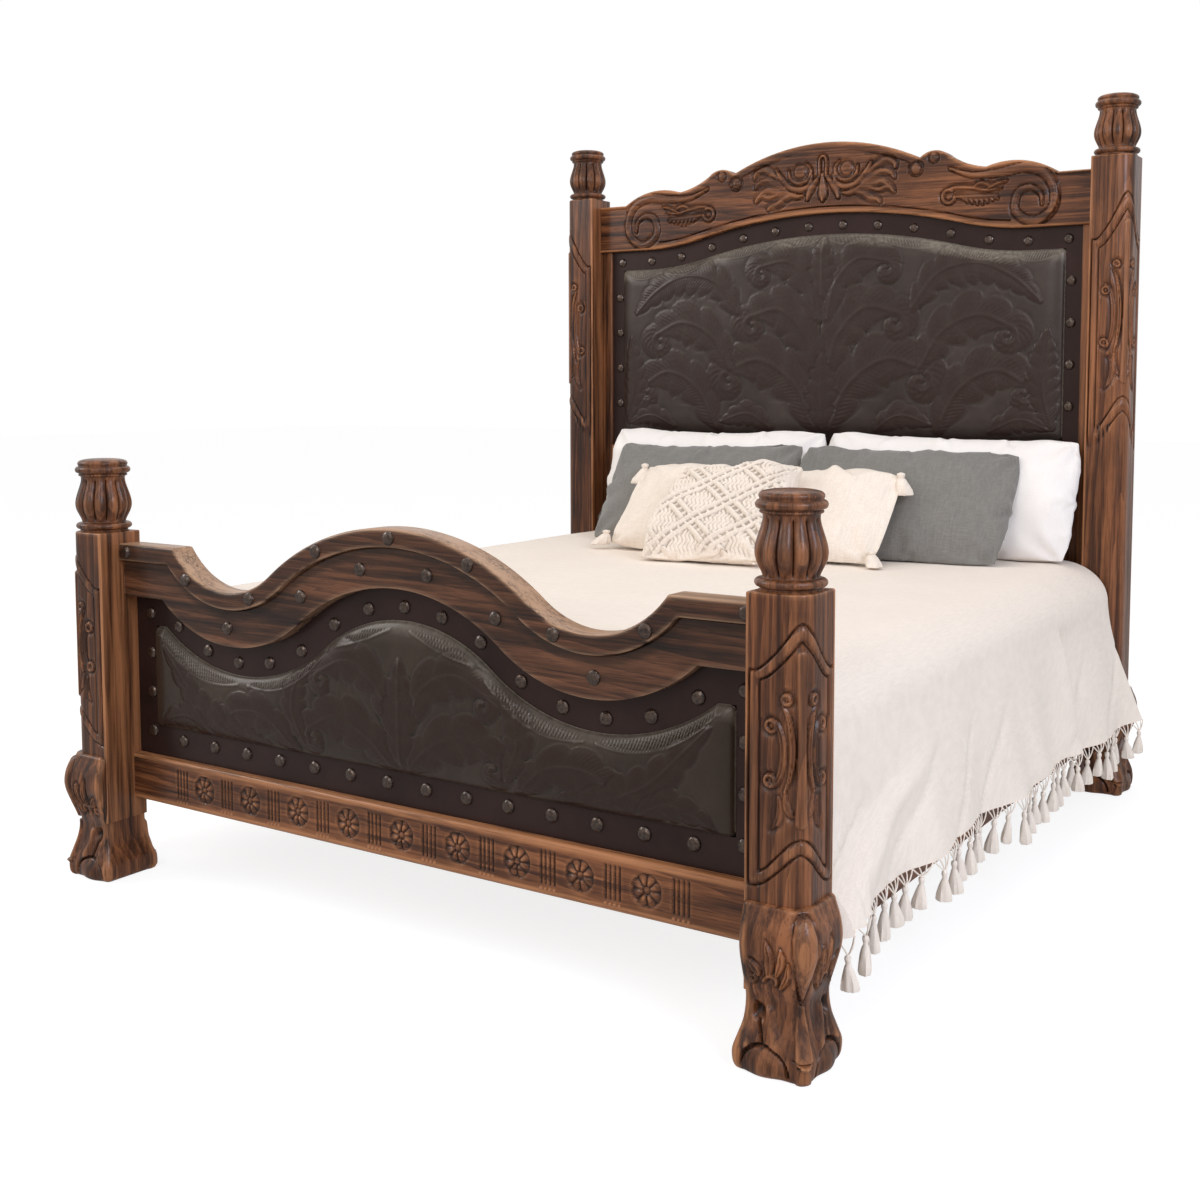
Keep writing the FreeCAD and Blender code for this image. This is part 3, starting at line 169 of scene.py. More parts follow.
def makeFloor():
    bpy.ops.mesh.primitive_plane_add(size=studio["floorSize"], location=(0, 0, -studio["floorDrop"]))
    floor = bpy.context.object
    floor.name = "studioFloor"
    paper = bpy.data.materials.new("studioPaper")
    paper.use_nodes = True
    tree = paper.node_tree
    seen = addNode(tree, "LightPath").outputs["Is Camera Ray"]
    look = {"Base Color": (studio["floorDiffuse"],) * 3, "Roughness": 1, "Specular IOR Level": 0,
            "Emission Color": (1, 1, 1),
            "Emission Strength": ranged(tree, seen, 0, 1, studio["floorDim"], studio["floorGlow"])}
    for label, value in look.items():
        setInput(tree, tree.nodes["Principled BSDF"].inputs[label], value)
    floor.data.materials.append(paper)


makeCamera()
makeLamps()
makeSky()
makeFloor()
print("studio ready")


# Finishes: a group gives what changes over the surface, and the shader keeps what is the same all over
finishes = {}


def newFinish(name, group, values, shine, bump, turn=(0, 0, 0)):
    material = bpy.data.materials.new(name)
    material.use_nodes = True
    tree = material.node_tree
    shader = tree.nodes["Principled BSDF"].inputs
    place = addNode(tree, "TexCoord").outputs["Object"]
    if any(turn):
        place = addNode(tree, "Mapping", {"Vector": place, "Rotation": turn}).outputs[0]
    effect = tree.nodes.new("ShaderNodeGroup")
    effect.node_tree = group
    setInput(tree, effect.inputs["Vector"], place)
    for label in ("Depth", "Tint"):
        if label in effect.inputs:
            painted = addNode(tree, "Attribute", attribute_name=label.lower())
            setInput(tree, effect.inputs[label], painted.outputs["Fac"])
    for label, value in values.items():
        setInput(tree, effect.inputs[label], value)
    setInput(tree, shader["Base Color"], effect.outputs["Color"])
    setInput(tree, shader["Roughness"], effect.outputs["Roughness"])
    for label, value in shine.items():
        setInput(tree, shader[label], value)
    strength, distance = bump
    relief = addNode(tree, "Bump", {"Height": effect.outputs["Height"], "Strength": strength,
                                    "Distance": distance})
    setInput(tree, shader["Normal"], relief.outputs[0])
    finishes[name] = material


def makeWoodGrain():
    # Grain runs along X: growth rings, broad stain streaks, fine fibres, dark hollows and worn edges
    tree, given, out = newGroup("woodGrain", Vector="Vector", Depth="Float", Dark="Color", Middle="Color",
                                Light="Color", Worn="Color")
    place, depth = given["Vector"], given["Depth"]
    warp = addNode(tree, "TexNoise", {"Vector": stretched(tree, place, (1.2, 5, 5)), "Scale": 1.0,
                                      "Detail": 2.0}).outputs["Color"]
    sway = addNode(tree, "VectorMath", {0: warp, 1: (.03, .05, .05)}, operation="MULTIPLY").outputs[0]
    bent = addNode(tree, "VectorMath", {0: stretched(tree, place, (.05, 1, 1)), 1: sway},
                   operation="ADD").outputs[0]
    rings = addNode(tree, "TexWave", {"Vector": bent, "Scale": 24.0, "Distortion": 5.0, "Detail": 2.0,
                                      "Detail Scale": 1.2}, bands_direction="DIAGONAL",
                    wave_profile="SAW").outputs["Fac"]
    streaks = speckled(tree, place, (1.2, 40, 40), 5.0, .66)
    broad = speckled(tree, place, (1.0, 9, 9), 3.0, .55)
    fibres = speckled(tree, place, (8, 230, 230), 3.0, .6)
    stain = speckled(tree, place, (2.4, 7, 7), 4.0, .6)
    pores = ranged(tree, speckled(tree, place, (24, 420, 420), 2.0, .5), .60, .70)
    tone = summed(tree, (streaks, .50), (broad, .22), (rings, .08), (fibres, .22))
    tone = ramped(tree, tone, (.39, (0, 0, 0)), (.495, (.5, .5, .5)), (.60, (1, 1, 1)))
    wood = mixed(tree, ranged(tree, tone, 0, .5), given["Dark"], given["Middle"])
    wood = mixed(tree, ranged(tree, tone, .5, 1), wood, given["Light"])
    cloud = ramped(tree, stain, (.33, (.50, .47, .46)), (.5, (.96, .96, .96)), (.67, (1.28, 1.28, 1.30)))
    wood = mixed(tree, 1.0, wood, cloud, "MULTIPLY")
    wood = mixed(tree, worked(tree, "MULTIPLY", pores, .5), wood, given["Dark"])
    sawn = worked(tree, "MULTIPLY", ranged(tree, depth, 1.1, 1.35), ranged(tree, fibres, .40, .58, .35, 1))
    cover = worked(tree, "MAXIMUM", ranged(tree, streaks, .36, .58), sawn)
    rub = worked(tree, "MULTIPLY", ranged(tree, depth, .12, .9), cover)
    wood = mixed(tree, worked(tree, "MULTIPLY", rub, .78), wood, given["Worn"])
    # dark in the hollows as patina; the painted shade under the footboard cap comes in here too
    wood = mixed(tree, ranged(tree, depth, -.10, -.75, 0, .9), wood, (.010, .005, .003))
    setInput(tree, out["Color"], wood)
    gloss = worked(tree, "ADD", ranged(tree, stain, .3, .7, .52, .34), worked(tree, "MULTIPLY", pores, .2))
    setInput(tree, out["Roughness"], worked(tree, "ADD", gloss, ranged(tree, depth, -.1, -.8, 0, .3)))
    setInput(tree, out["Height"], summed(tree, (fibres, .5), (rings, .35), (pores, -.6)))
    return tree


def makeHideGrain():
    # Pebbled hide in cloudy tones, with dyed leaves, pale rubbed tops, a painted highlight along the upper
    # roll and dark hollows
    tree, given, out = newGroup("hideGrain", Vector="Vector", Depth="Float", Tint="Float", Dark="Color",
                                Light="Color", Leaf="Color", Rubbed="Color")
    place, depth = given["Vector"], given["Depth"]
    pebbles = addNode(tree, "TexVoronoi", {"Vector": place, "Scale": 420.0},
                      feature="SMOOTH_F1").outputs["Distance"]
    cloud = speckled(tree, place, 5.0, 5.0, .65)
    fine = speckled(tree, place, 90.0, 4.0, .6)
    hide = mixed(tree, ranged(tree, cloud, .32, .68), given["Dark"], given["Light"])
    dye = worked(tree, "MULTIPLY", given["Tint"], ranged(tree, fine, .25, .6, .6, 1))
    hide = mixed(tree, dye, hide, given["Leaf"])
    # rubbed tops, and the painted highlight that the pads' upper rolls carry in their depth, both mix towards
    # this colour
    rub = worked(tree, "MULTIPLY", ranged(tree, depth, .24, .95), ranged(tree, fine, .3, .7, .4, 1))
    hide = mixed(tree, worked(tree, "MULTIPLY", rub, .8), hide, given["Rubbed"])
    hide = mixed(tree, ranged(tree, depth, -.05, -.6, 0, .85), hide, (.006, .005, .005))
    setInput(tree, out["Color"], hide)
    gloss = ranged(tree, fine, .3, .7, .34, .50)
    setInput(tree, out["Roughness"], worked(tree, "ADD", gloss, ranged(tree, depth, -.05, -.6, 0, .25)))
    setInput(tree, out["Height"], summed(tree, (pebbles, .7), (fine, .3)))
    return tree


def makeClothWeave():
    # Crossed threads with slubs; Thread says how fine they are
    tree, given, out = newGroup("clothWeave", Vector="Vector", Depth="Float", Thread="Float", Color="Color",
                                Shade="Color")
    place = addNode(tree, "VectorMath", {0: given["Vector"], "Scale": given["Thread"]},
                    operation="SCALE").outputs[0]
    across = speckled(tree, place, (.08, 1, 1), 2.0, .5)
    along = speckled(tree, place, (1, .08, .08), 2.0, .5)
    weave = summed(tree, (across, .5), (along, .5))
    cloud = speckled(tree, given["Vector"], 3.0, 3.0, .5)
    shade = worked(tree, "ADD", ranged(tree, weave, .36, .64, 0, .75), ranged(tree, cloud, .35, .65, 0, .25))
    yarn = mixed(tree, shade, given["Shade"], given["Color"])
    # painted shade: the woven pillow's recesses and the bedspread's lap line are darkened
    paintedShade = ranged(tree, given["Depth"], -.02, -.7, 0, .8)
    setInput(tree, out["Color"], mixed(tree, paintedShade, yarn, (.36, .29, .23)))
    setInput(tree, out["Roughness"], ranged(tree, weave, .3, .7, .95, .78))
    setInput(tree, out["Height"], weave)
    return tree


def makeMetalSkin():
    # Beaten or filed metal with tarnish in patches
    tree, given, out = newGroup("metalSkin", Vector="Vector", Scale="Float", Dark="Color", Light="Color")
    dents = addNode(tree, "TexVoronoi", {"Vector": given["Vector"], "Scale": given["Scale"]},
                    feature="SMOOTH_F1").outputs["Distance"]
    tarnish = speckled(tree, given["Vector"], 130.0, 4.0, .65)
    setInput(tree, out["Color"], mixed(tree, ranged(tree, tarnish, .35, .65), given["Dark"], given["Light"]))
    setInput(tree, out["Roughness"], ranged(tree, tarnish, .35, .65, .48, .26))
    setInput(tree, out["Height"], dents)
    return tree


woodGrain, hideGrain = makeWoodGrain(), makeHideGrain()
clothWeave, metalSkin = makeClothWeave(), makeMetalSkin()
quarter = math.pi / 2
alongX, alongY, alongZ = (0, 0, 0), (0, 0, quarter), (0, quarter, 0)
walnutTones = dict(Dark=(.0155, .0056, .0030), Middle=(.084, .0274, .0100), Light=(.226, .083, .032),
                   Worn=(.46, .200, .086))
darkTones = dict(Dark=(.012, .0050, .0032), Middle=(.056, .0210, .0098), Light=(.150, .060, .029),
                 Worn=(.50, .300, .180))
backingTones = dict(Dark=(.02, .009, .005), Middle=(.05, .024, .012), Light=(.09, .045, .022),
                    Worn=(.1, .05, .03))
pineTones = dict(Dark=(.10, .05, .02), Middle=(.19, .105, .048), Light=(.30, .175, .085),
                 Worn=(.32, .19, .10))
walnutShine = {"Coat Weight": .22, "Coat Roughness": .18, "Specular IOR Level": .20}
padShine = {"Coat Weight": .30, "Coat Roughness": .24, "Specular IOR Level": .16,
            "Specular Tint": (1, .82, .66)}
borderShine = {"Coat Weight": .18, "Coat Roughness": .20, "Specular IOR Level": .16,
               "Specular Tint": (1, .72, .62)}
bronzeShine = {"Metallic": .8, "Coat Weight": .5, "Coat Roughness": .12}
for name, tones, turn in (("walnutAlong", walnutTones, alongX), ("walnutDark", darkTones, alongX),
                          ("walnutDeep", walnutTones, alongY), ("walnutUpright", walnutTones, alongZ)):
    newFinish(name, woodGrain, tones, walnutShine, (.28, .0012), turn)
newFinish("backing", woodGrain, backingTones, {}, (.3, .001))
newFinish("pineAlong", woodGrain, pineTones, {}, (.25, .001))
newFinish("pineDeep", woodGrain, pineTones, {}, (.25, .001), alongY)
newFinish("footHide", hideGrain, dict(Dark=(.0195, .0118, .0082), Light=(.040, .0260, .0184),
          Leaf=(.0185, .0074, .0048), Rubbed=(.250, .220, .175)), padShine, (.3, .0006))
# painted light: the head pad's hide is a lighter copy of the foot pad's, so that it reads as more brightly
# lit
newFinish("headHideLit", hideGrain, dict(Dark=(.0270, .0186, .0158), Light=(.052, .0390, .0335),
          Leaf=(.0255, .0130, .0108), Rubbed=(.260, .228, .178)), padShine, (.3, .0006))
newFinish("borderHide", hideGrain, dict(Dark=(.0125, .0060, .0052), Light=(.027, .0125, .0108),
          Leaf=(.02, .01, .01), Rubbed=(.05, .03, .026)), borderShine, (.25, .0005))
newFinish("bronze", metalSkin, dict(Scale=260.0, Dark=(.018, .011, .008), Light=(.088, .053, .036)),
          bronzeShine, (.6, .0015))
newFinish("steel", metalSkin, dict(Scale=60.0, Dark=(.25, .25, .26), Light=(.46, .46, .47)),
          {"Metallic": 1.0}, (.1, .001))
for name, thread, colour, shade, sheen, bump in (
        ("whiteCotton", 420.0, (.92, .87, .83), (.86, .81, .77), .1, (.15, .0008)),
        ("greyLinen", 300.0, (.215, .203, .182), (.150, .141, .127), .3, (.3, .001)),
        ("creamWool", 300.0, (.90, .80, .70), (.76, .66, .56), .2, (.35, .0014)),
        ("ticking", 260.0, (.78, .77, .74), (.6, .6, .6), .2, (.2, .001)),
        ("spread", 330.0, (.90, .80, .70), (.80, .70, .61), .15, (.25, .0012))):
    newFinish(name, clothWeave, dict(Thread=thread, Color=colour, Shade=shade), {"Sheen Weight": sheen}, bump)
print("finishes ready")


# Mesh tools
def onlySelect(piece):
    bpy.ops.object.select_all(action="DESELECT")
    piece.select_set(True)
    bpy.context.view_layer.objects.active = piece


def span(node):
    low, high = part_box(node)
    return tuple(zip(low, high))


def eased(value, low, high):
    share = np.clip((value - low) / (high - low), 0, 1)
    return share * share * (3 - 2 * share)


def latticeNoise(x, y, size, seed):
    # Smooth noise from -1 to 1 with features about size across
    grid = np.random.default_rng(seed).uniform(-1, 1, (64, 64))
    x, y = np.asarray(x) / size, np.asarray(y) / size
    i, j = np.floor(x).astype(int), np.floor(y).astype(int)
    u, v = eased(x - i, 0, 1), eased(y - j, 0, 1)
    a, b = grid[i % 64, j % 64], grid[(i + 1) % 64, j % 64]
    c, d = grid[i % 64, (j + 1) % 64], grid[(i + 1) % 64, (j + 1) % 64]
    return (a * (1 - u) + b * u) * (1 - v) + (c * (1 - u) + d * u) * v


def setSpots(piece, spots):
    piece.data.vertices.foreach_set("co", np.ascontiguousarray(spots, dtype=np.float32).ravel())
    piece.data.update()


def weld(piece, merge, caps=False):
    onlySelect(piece)
    bpy.ops.object.mode_set(mode="EDIT")
    bpy.ops.mesh.select_all(action="SELECT")
    bpy.ops.mesh.remove_doubles(threshold=merge)
    if caps:
        bpy.ops.mesh.fill_holes(sides=0)
    bpy.ops.mesh.select_all(action="SELECT")
    bpy.ops.mesh.normals_make_consistent(inside=False)
    bpy.ops.object.mode_set(mode="OBJECT")


def shapedGrid(name, points, caps=False, merge=1e-5):
    # A grid primitive laid over points[row][column]; rows or columns that meet are welded
    rows, columns = points.shape[:2]
    bpy.ops.object.select_all(action="DESELECT")
    bpy.ops.mesh.primitive_grid_add(x_subdivisions=columns - 1, y_subdivisions=rows - 1, size=1)
    piece = bpy.context.object
    piece.name = piece.data.name = name
    setSpots(piece, points)
    weld(piece, merge, caps)
    return piece


def vertexArray(mesh, what="co"):
    values = np.empty(len(mesh.vertices) * 3, dtype=np.float32)
    mesh.vertices.foreach_get(what, values)
    return values.reshape(-1, 3).astype(float)


def paint(mesh, name, values):
    attribute = mesh.attributes.new(name, "FLOAT", "POINT")
    attribute.data.foreach_set("value", values.astype(np.float32))


wearAndLight = dict(plainEdge=.024, plainDepth=.42, limit=2)


def paintDepth(mesh, full, rounds, lift):
    # How far each point stands out of (+) or lies below (-) the smoothed surface
    spots, normals = vertexArray(mesh), vertexArray(mesh, "normal")
    ends = np.empty(len(mesh.edges) * 2, dtype=np.int32)
    mesh.edges.foreach_get("vertices", ends)
    one, two = ends[::2], ends[1::2]
    count = len(spots)
    degree = np.maximum(np.bincount(ends, minlength=count), 1)[:, None]
    smooth = spots.copy()
    for _ in range(rounds):
        near = [np.bincount(one, smooth[two, k], count) + np.bincount(two, smooth[one, k], count)
                for k in range(3)]
        smooth = (smooth + np.stack(near, -1) / degree) / 2
    depth = ((spots - smooth) * normals).sum(1) / full
    # plain sides have too few points to tell a depth, so they wear evenly, and this even wear is set high
    # enough to pale them as painted light
    lengths = np.linalg.norm(spots[one] - spots[two], axis=1)
    longest = np.zeros(count)
    np.maximum.at(longest, one, lengths)
    np.maximum.at(longest, two, lengths)
    depth[longest > wearAndLight["plainEdge"]] = wearAndLight["plainDepth"]
    # lift adds each piece's own marks: the bare top of the footboard cap, painted shade under the cap and
    # along the bedspread's lap, and a painted highlight along the pads' upper rolls
    if lift is not None:
        depth += lift(spots, normals)
    paint(mesh, "depth", np.clip(depth, -wearAndLight["limit"], wearAndLight["limit"]))


def finishPiece(piece, body, nodes, slotName, finish, angle=38, full=0, rounds=0, lift=None):
    onlySelect(piece)
    bpy.ops.object.shade_smooth_by_angle(angle=math.radians(angle))
    if full:
        paintDepth(piece.data, full, rounds, lift)
    piece.data.materials.clear()
    piece.data.materials.append(finishes[finish])
    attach(piece, body)
    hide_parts(*nodes)
    return piece


def finishWood(piece, node, finish, **wearing):
    finishPiece(piece, "frame", [node], "carved_walnut", finish, **wearing)


# Carving: strokes with a width that tapers, raised from a sunken ground or cut in
def roundTop(share):
    return np.sqrt(np.clip(1 - share * share, 0, 1))


def softTop(share):
    return (1 - share * share) ** 2


def leafTop(share):
    return (1 - share ** 3) * (.45 + .55 * np.clip(share * 2.6, 0, 1))


def flatTop(share):
    return np.clip((1 - share) * 3.5, 0, 1)


def curved(points, steps=8):
    # A smooth line through the points
    spots = np.array(points, float)
    spots = np.vstack([2 * spots[0] - spots[1], spots, 2 * spots[-1] - spots[-2]])
    t = np.linspace(0, 1, steps, endpoint=False)[:, None]
    runs = [(2 * b + (c - a) * t + (2 * a - 5 * b + 4 * c - d) * t ** 2
             + (3 * b - a - 3 * c + d) * t ** 3) / 2
            for a, b, c, d in zip(spots, spots[1:], spots[2:], spots[3:])]
    return np.vstack(runs + [spots[-2:-1]])


def spiral(centre, outer, inner, start, turns, steps=30):
    share = np.linspace(0, 1, max(int(steps * abs(turns)), 6) + 1)
    angle = math.radians(start) + 2 * math.pi * turns * share
    radius = outer + (inner - outer) * share
    return np.array(centre) + np.stack([np.cos(angle), np.sin(angle)], -1) * radius[:, None]


def bowed(root, tip, bow, steps=8):
    root, tip = np.array(root, float), np.array(tip, float)
    along = tip - root
    t = np.linspace(0, 1, steps + 1)[:, None]
    return root + along * t + np.array([-along[1], along[0]]) * bow * 4 * t * (1 - t)


def tapered(width, path, shares=((0, .45), (.4, 1), (.75, .8), (1, .12))):
    places, values = zip(*shares)
    return width * np.interp(np.linspace(0, 1, len(path)), places, values)


def stroke(points, width, shares, rise, top):
    path = curved(points)
    return path, tapered(width, path, shares), rise, top


def dot(centre, radius, rise, top=roundTop):
    x, z = centre
    return (np.array([(x, z - radius * .02), (x, z + radius * .02)]), radius, rise, top)


flip = np.array([-1, 1])


def mirrored(strokes):
    return strokes + [(np.asarray(path) * flip, width, rise, top) for path, width, rise, top in strokes]


def nearby(across, up, path, reach):
    # Which points of a field lie about a path, and their places
    low, high = path.min(0) - reach, path.max(0) + reach
    inside = np.nonzero((across > low[0]) & (across < high[0]) & (up > low[1]) & (up < high[1]))
    return inside, np.stack([across[inside], up[inside]], -1)


def besideRun(spot, start, run):
    # The share of a straight run that each spot is beside, and the way from there to the spot
    t = np.clip((spot - start) @ run / max(run @ run, 1e-12), 0, 1)
    return t, spot - start - t[:, None] * run


def carve(across, up, strokes, sunk=0.0, margin=.006):
    near = np.full(across.shape, 1.0)
    top = np.zeros(across.shape)
    for path, width, rise, shape in strokes:
        path = np.asarray(path, float)
        width = np.broadcast_to(width, len(path))
        inside, spot = nearby(across, up, path, width.max() + margin)
        if not len(spot):
            continue
        share = np.full(len(spot), 9.0)
        gap = np.full(len(spot), 9.0)
        for start, end, wide, wideEnd in zip(path, path[1:], width, width[1:]):
            t, off = besideRun(spot, start, end - start)
            away = np.linalg.norm(off, axis=1)
            local = wide + (wideEnd - wide) * t
            share = np.minimum(share, away / local)
            gap = np.minimum(gap, away - local)
        near[inside] = np.minimum(near[inside], gap)
        top[inside] = np.maximum(top[inside], np.where(share < 1, rise * shape(np.minimum(share, 1)), 0))
    return top - sunk * eased(-near, -margin, 0)


# Boards: a closed section with rounded edges, swept along its stations
def boardLoop(rows, edge, depth):
    face = np.linspace(0, 1, rows)
    turn = np.linspace(0, quarter, 4)
    sine, cosine = edge * np.sin(turn), edge * np.cos(turn)
    loop = [(s, edge * (1 - 2 * s), 0) for s in face]
    loop += [(1, -edge + s, edge - c) for s, c in zip(sine[1:], cosine[1:])]
    loop += [(1, -edge + c, depth - edge + s) for s, c in zip(sine, cosine)]
    loop += [(0, edge - s, depth - edge + c) for s, c in zip(sine, cosine)]
    loop += [(0, edge - c, edge - s) for s, c in zip(sine, cosine)]
    return np.array(loop)


def sweptBoard(name, stations, lower, upper, faces, edge, rows, relief=None, upright=False):
    front, back = faces
    loop = boardLoop(rows, edge, back - front)
    lower, upper = np.broadcast_to(lower, stations.shape), np.broadcast_to(upper, stations.shape)
    along = np.broadcast_to(stations, (len(loop), len(stations)))
    up = lower + loop[:, :1] * (upper - lower) + loop[:, 1:2]
    deep = np.repeat(loop[:, 2:], len(stations), 1)
    if relief is not None:
        deep[:rows] -= relief(along[:rows], up[:rows])
    x, z = (up, along) if upright else (along, up)
    return shapedGrid(name, np.stack([x, front + deep, z], -1), caps=True)


def stationsOf(half, step):
    return np.linspace(-half, half, int(2 * half / step) + 1)


# The wave of the footboard and the arch of the headboard: tangent arcs, level at the ends
footWave = dict(valleyX=.530, valleyZ=.772, valleyR=.240, peakZ=.957, levelZ=.868)
headWave = dict(valleyX=.720, valleyZ=1.772, valleyR=.900, peakZ=1.862, levelZ=1.772)


def waveHeight(wave, drop, place):
    # Height of the line that runs parallel to the wave, drop below it
    place = np.abs(place)
    valleyX, valleyR, peakZ = wave["valleyX"], wave["valleyR"], wave["peakZ"]
    centre = wave["valleyZ"] + valleyR
    rise = centre - peakZ
    peakR = (valleyX ** 2 + rise ** 2 - valleyR ** 2) / (2 * (valleyR - rise))
    share = (valleyR + drop) / (valleyR + peakR)
    valley = centre - np.sqrt(np.clip((valleyR + drop) ** 2 - (place - valleyX) ** 2, 0, None))
    peak = peakZ - peakR + np.sqrt(np.clip((peakR - drop) ** 2 - place ** 2, 0, None))
    outer = np.where(place < valleyX, valley, np.minimum(valley, wave["levelZ"] - drop))
    return np.where(place < valleyX * (1 - share), peak, outer)


boardHalf = span("foot_post_right")[0][0] + .002  # boards run just into the posts


# Footboard woodwork: a cap and an apron that follow the wave, a rail with rosettes between groups of reeds
footboard = dict(capDrop=.043, capEdge=.006, apronTop=.0432, apronDrop=.136, apronEdge=.004, step=.006,
                 capShade=.80, capShadeDrop=.040, bareTop=1.6, railEdge=.009, railStep=.0026, railRows=42)
rosette = dict(count=9, pitch=.164, radius=.038, petals=4, sunk=.0062, rise=.0075, eyeR=.0085, eyeRise=.006)
reed = dict(count=4, pitch=.0115, half=.0042, depth=.0038, beadDrop=.0445, beadR=.0036, beadRise=.0028)


def railRelief(across, up):
    z = up - sum(span("footboard_bottom_rail")[2]) / 2
    relief = np.zeros(across.shape)
    for i in range(rosette["count"]):
        x = across - (i - (rosette["count"] - 1) / 2) * rosette["pitch"]
        away = np.hypot(x, z)
        lobe = np.abs(np.sin(rosette["petals"] * np.arctan2(z, x)))
        edge = rosette["radius"] * (.90 + .10 * lobe ** .5)
        petal = lobe ** .6 * (1 - .55 * eased(away, .015, .034)) * eased(away, .006, .013)
        eye = rosette["eyeRise"] * roundTop(away / rosette["eyeR"])
        flower = rosette["rise"] * petal - rosette["sunk"] + eye
        relief = np.where(away < edge, flower * eased(-away, -edge, -edge + .003), relief)
    ends = eased(z, -.040, -.034) * eased(-z, -.042, -.034)
    for i in range(rosette["count"] + 1):
        centre = (i - rosette["count"] / 2) * rosette["pitch"]
        for j in range(reed["count"]):
            x = across - centre - (j - (reed["count"] - 1) / 2) * reed["pitch"]
            relief -= reed["depth"] * np.clip(1 - (x / reed["half"]) ** 2, 0, 1) * ends
            relief += reed["beadRise"] * roundTop(np.hypot(x, z + reed["beadDrop"]) / reed["beadR"])
    return relief


def makeFootboard():
    x = stationsOf(boardHalf, footboard["step"])

    def waveBoard(name, node, top, bottom, edge, rows, full, lift):
        board = sweptBoard(name, x, waveHeight(footWave, bottom, x), waveHeight(footWave, top, x),
                           span(node)[1], edge, rows)
        finishWood(board, node, "walnutDark", full=full, rounds=10, lift=lift)

    def bareTop(spots, normals):  # the cap's upper face is rubbed bare
        return footboard["bareTop"] * eased(normals[:, 2], .45, .80)

    def capShade(spots, normals):  # painted shade under the cap, where its shadow falls on the apron
        below = waveHeight(footWave, footboard["apronTop"], spots[:, 0]) - spots[:, 2]
        shade = eased(-below, -footboard["capShadeDrop"], -.002)
        return -footboard["capShade"] * shade * eased(-normals[:, 1], .5, .9)

    waveBoard("footboardCap", "footboard_cap", 0, footboard["capDrop"], footboard["capEdge"], 7, .006,
              bareTop)
    waveBoard("footboardApron", "footboard_apron", footboard["apronTop"], footboard["apronDrop"],
              footboard["apronEdge"], 8, .007, capShade)
    _, faces, (low, high) = span("footboard_bottom_rail")
    rail = sweptBoard("footboardRail", stationsOf(boardHalf, footboard["railStep"]), low, high, faces,
                      footboard["railEdge"], footboard["railRows"], railRelief)
    finishWood(rail, "footboard_bottom_rail", "walnutAlong", full=.0028, rounds=30)


makeFootboard()
print("footboard woodwork ready")


# Headboard woodwork: a carved crest over rails and stiles
crest = dict(peakZ=2.102, notch=(.350, 2.021), roll=(.400, 2.041), rollEnd=(.450, 2.021),
             saddleMiddle=(.5125, 1.9895), saddle=(.575, 1.974), scroll=(.700, 1.984),
             scrollEnd=(.808, 1.940), edge=.007, step=.0028, rows=62)
panelFrame = dict(railEdge=.005, railStep=.02, lap=.001, stileEdge=.004, stileRows=60, muntinHalf=.045)


def throughArc(place, first, middle, last):
    # Height of the circle through three points, which bows up or down
    (a, b), (c, d), (e, f) = first, middle, last
    scale = 2 * (a * (d - f) + c * (f - b) + e * (b - d))
    x = ((a * a + b * b) * (d - f) + (c * c + d * d) * (f - b) + (e * e + f * f) * (b - d)) / scale
    z = ((a * a + b * b) * (e - c) + (c * c + d * d) * (a - e) + (e * e + f * f) * (c - a)) / scale
    radius = math.hypot(a - x, b - z)
    return z + math.copysign(1, d - z) * np.sqrt(np.clip(radius ** 2 - (place - x) ** 2, 0, None))


def crestTop(place):
    place = np.abs(place)
    notch, roll, rollEnd = crest["notch"], crest["roll"], crest["rollEnd"]
    arch = throughArc(place, (-notch[0], notch[1]), (0, crest["peakZ"]), notch)
    nub = throughArc(place, notch, roll, rollEnd)
    saddle = throughArc(place, rollEnd, crest["saddleMiddle"], crest["saddle"])
    scroll = throughArc(place, crest["saddle"], crest["scroll"], crest["scrollEnd"])
    return np.select([place < notch[0], place < rollEnd[0], place < crest["saddle"][0],
                      place < crest["scrollEnd"][0]], [arch, nub, saddle, scroll], crest["scrollEnd"][1])


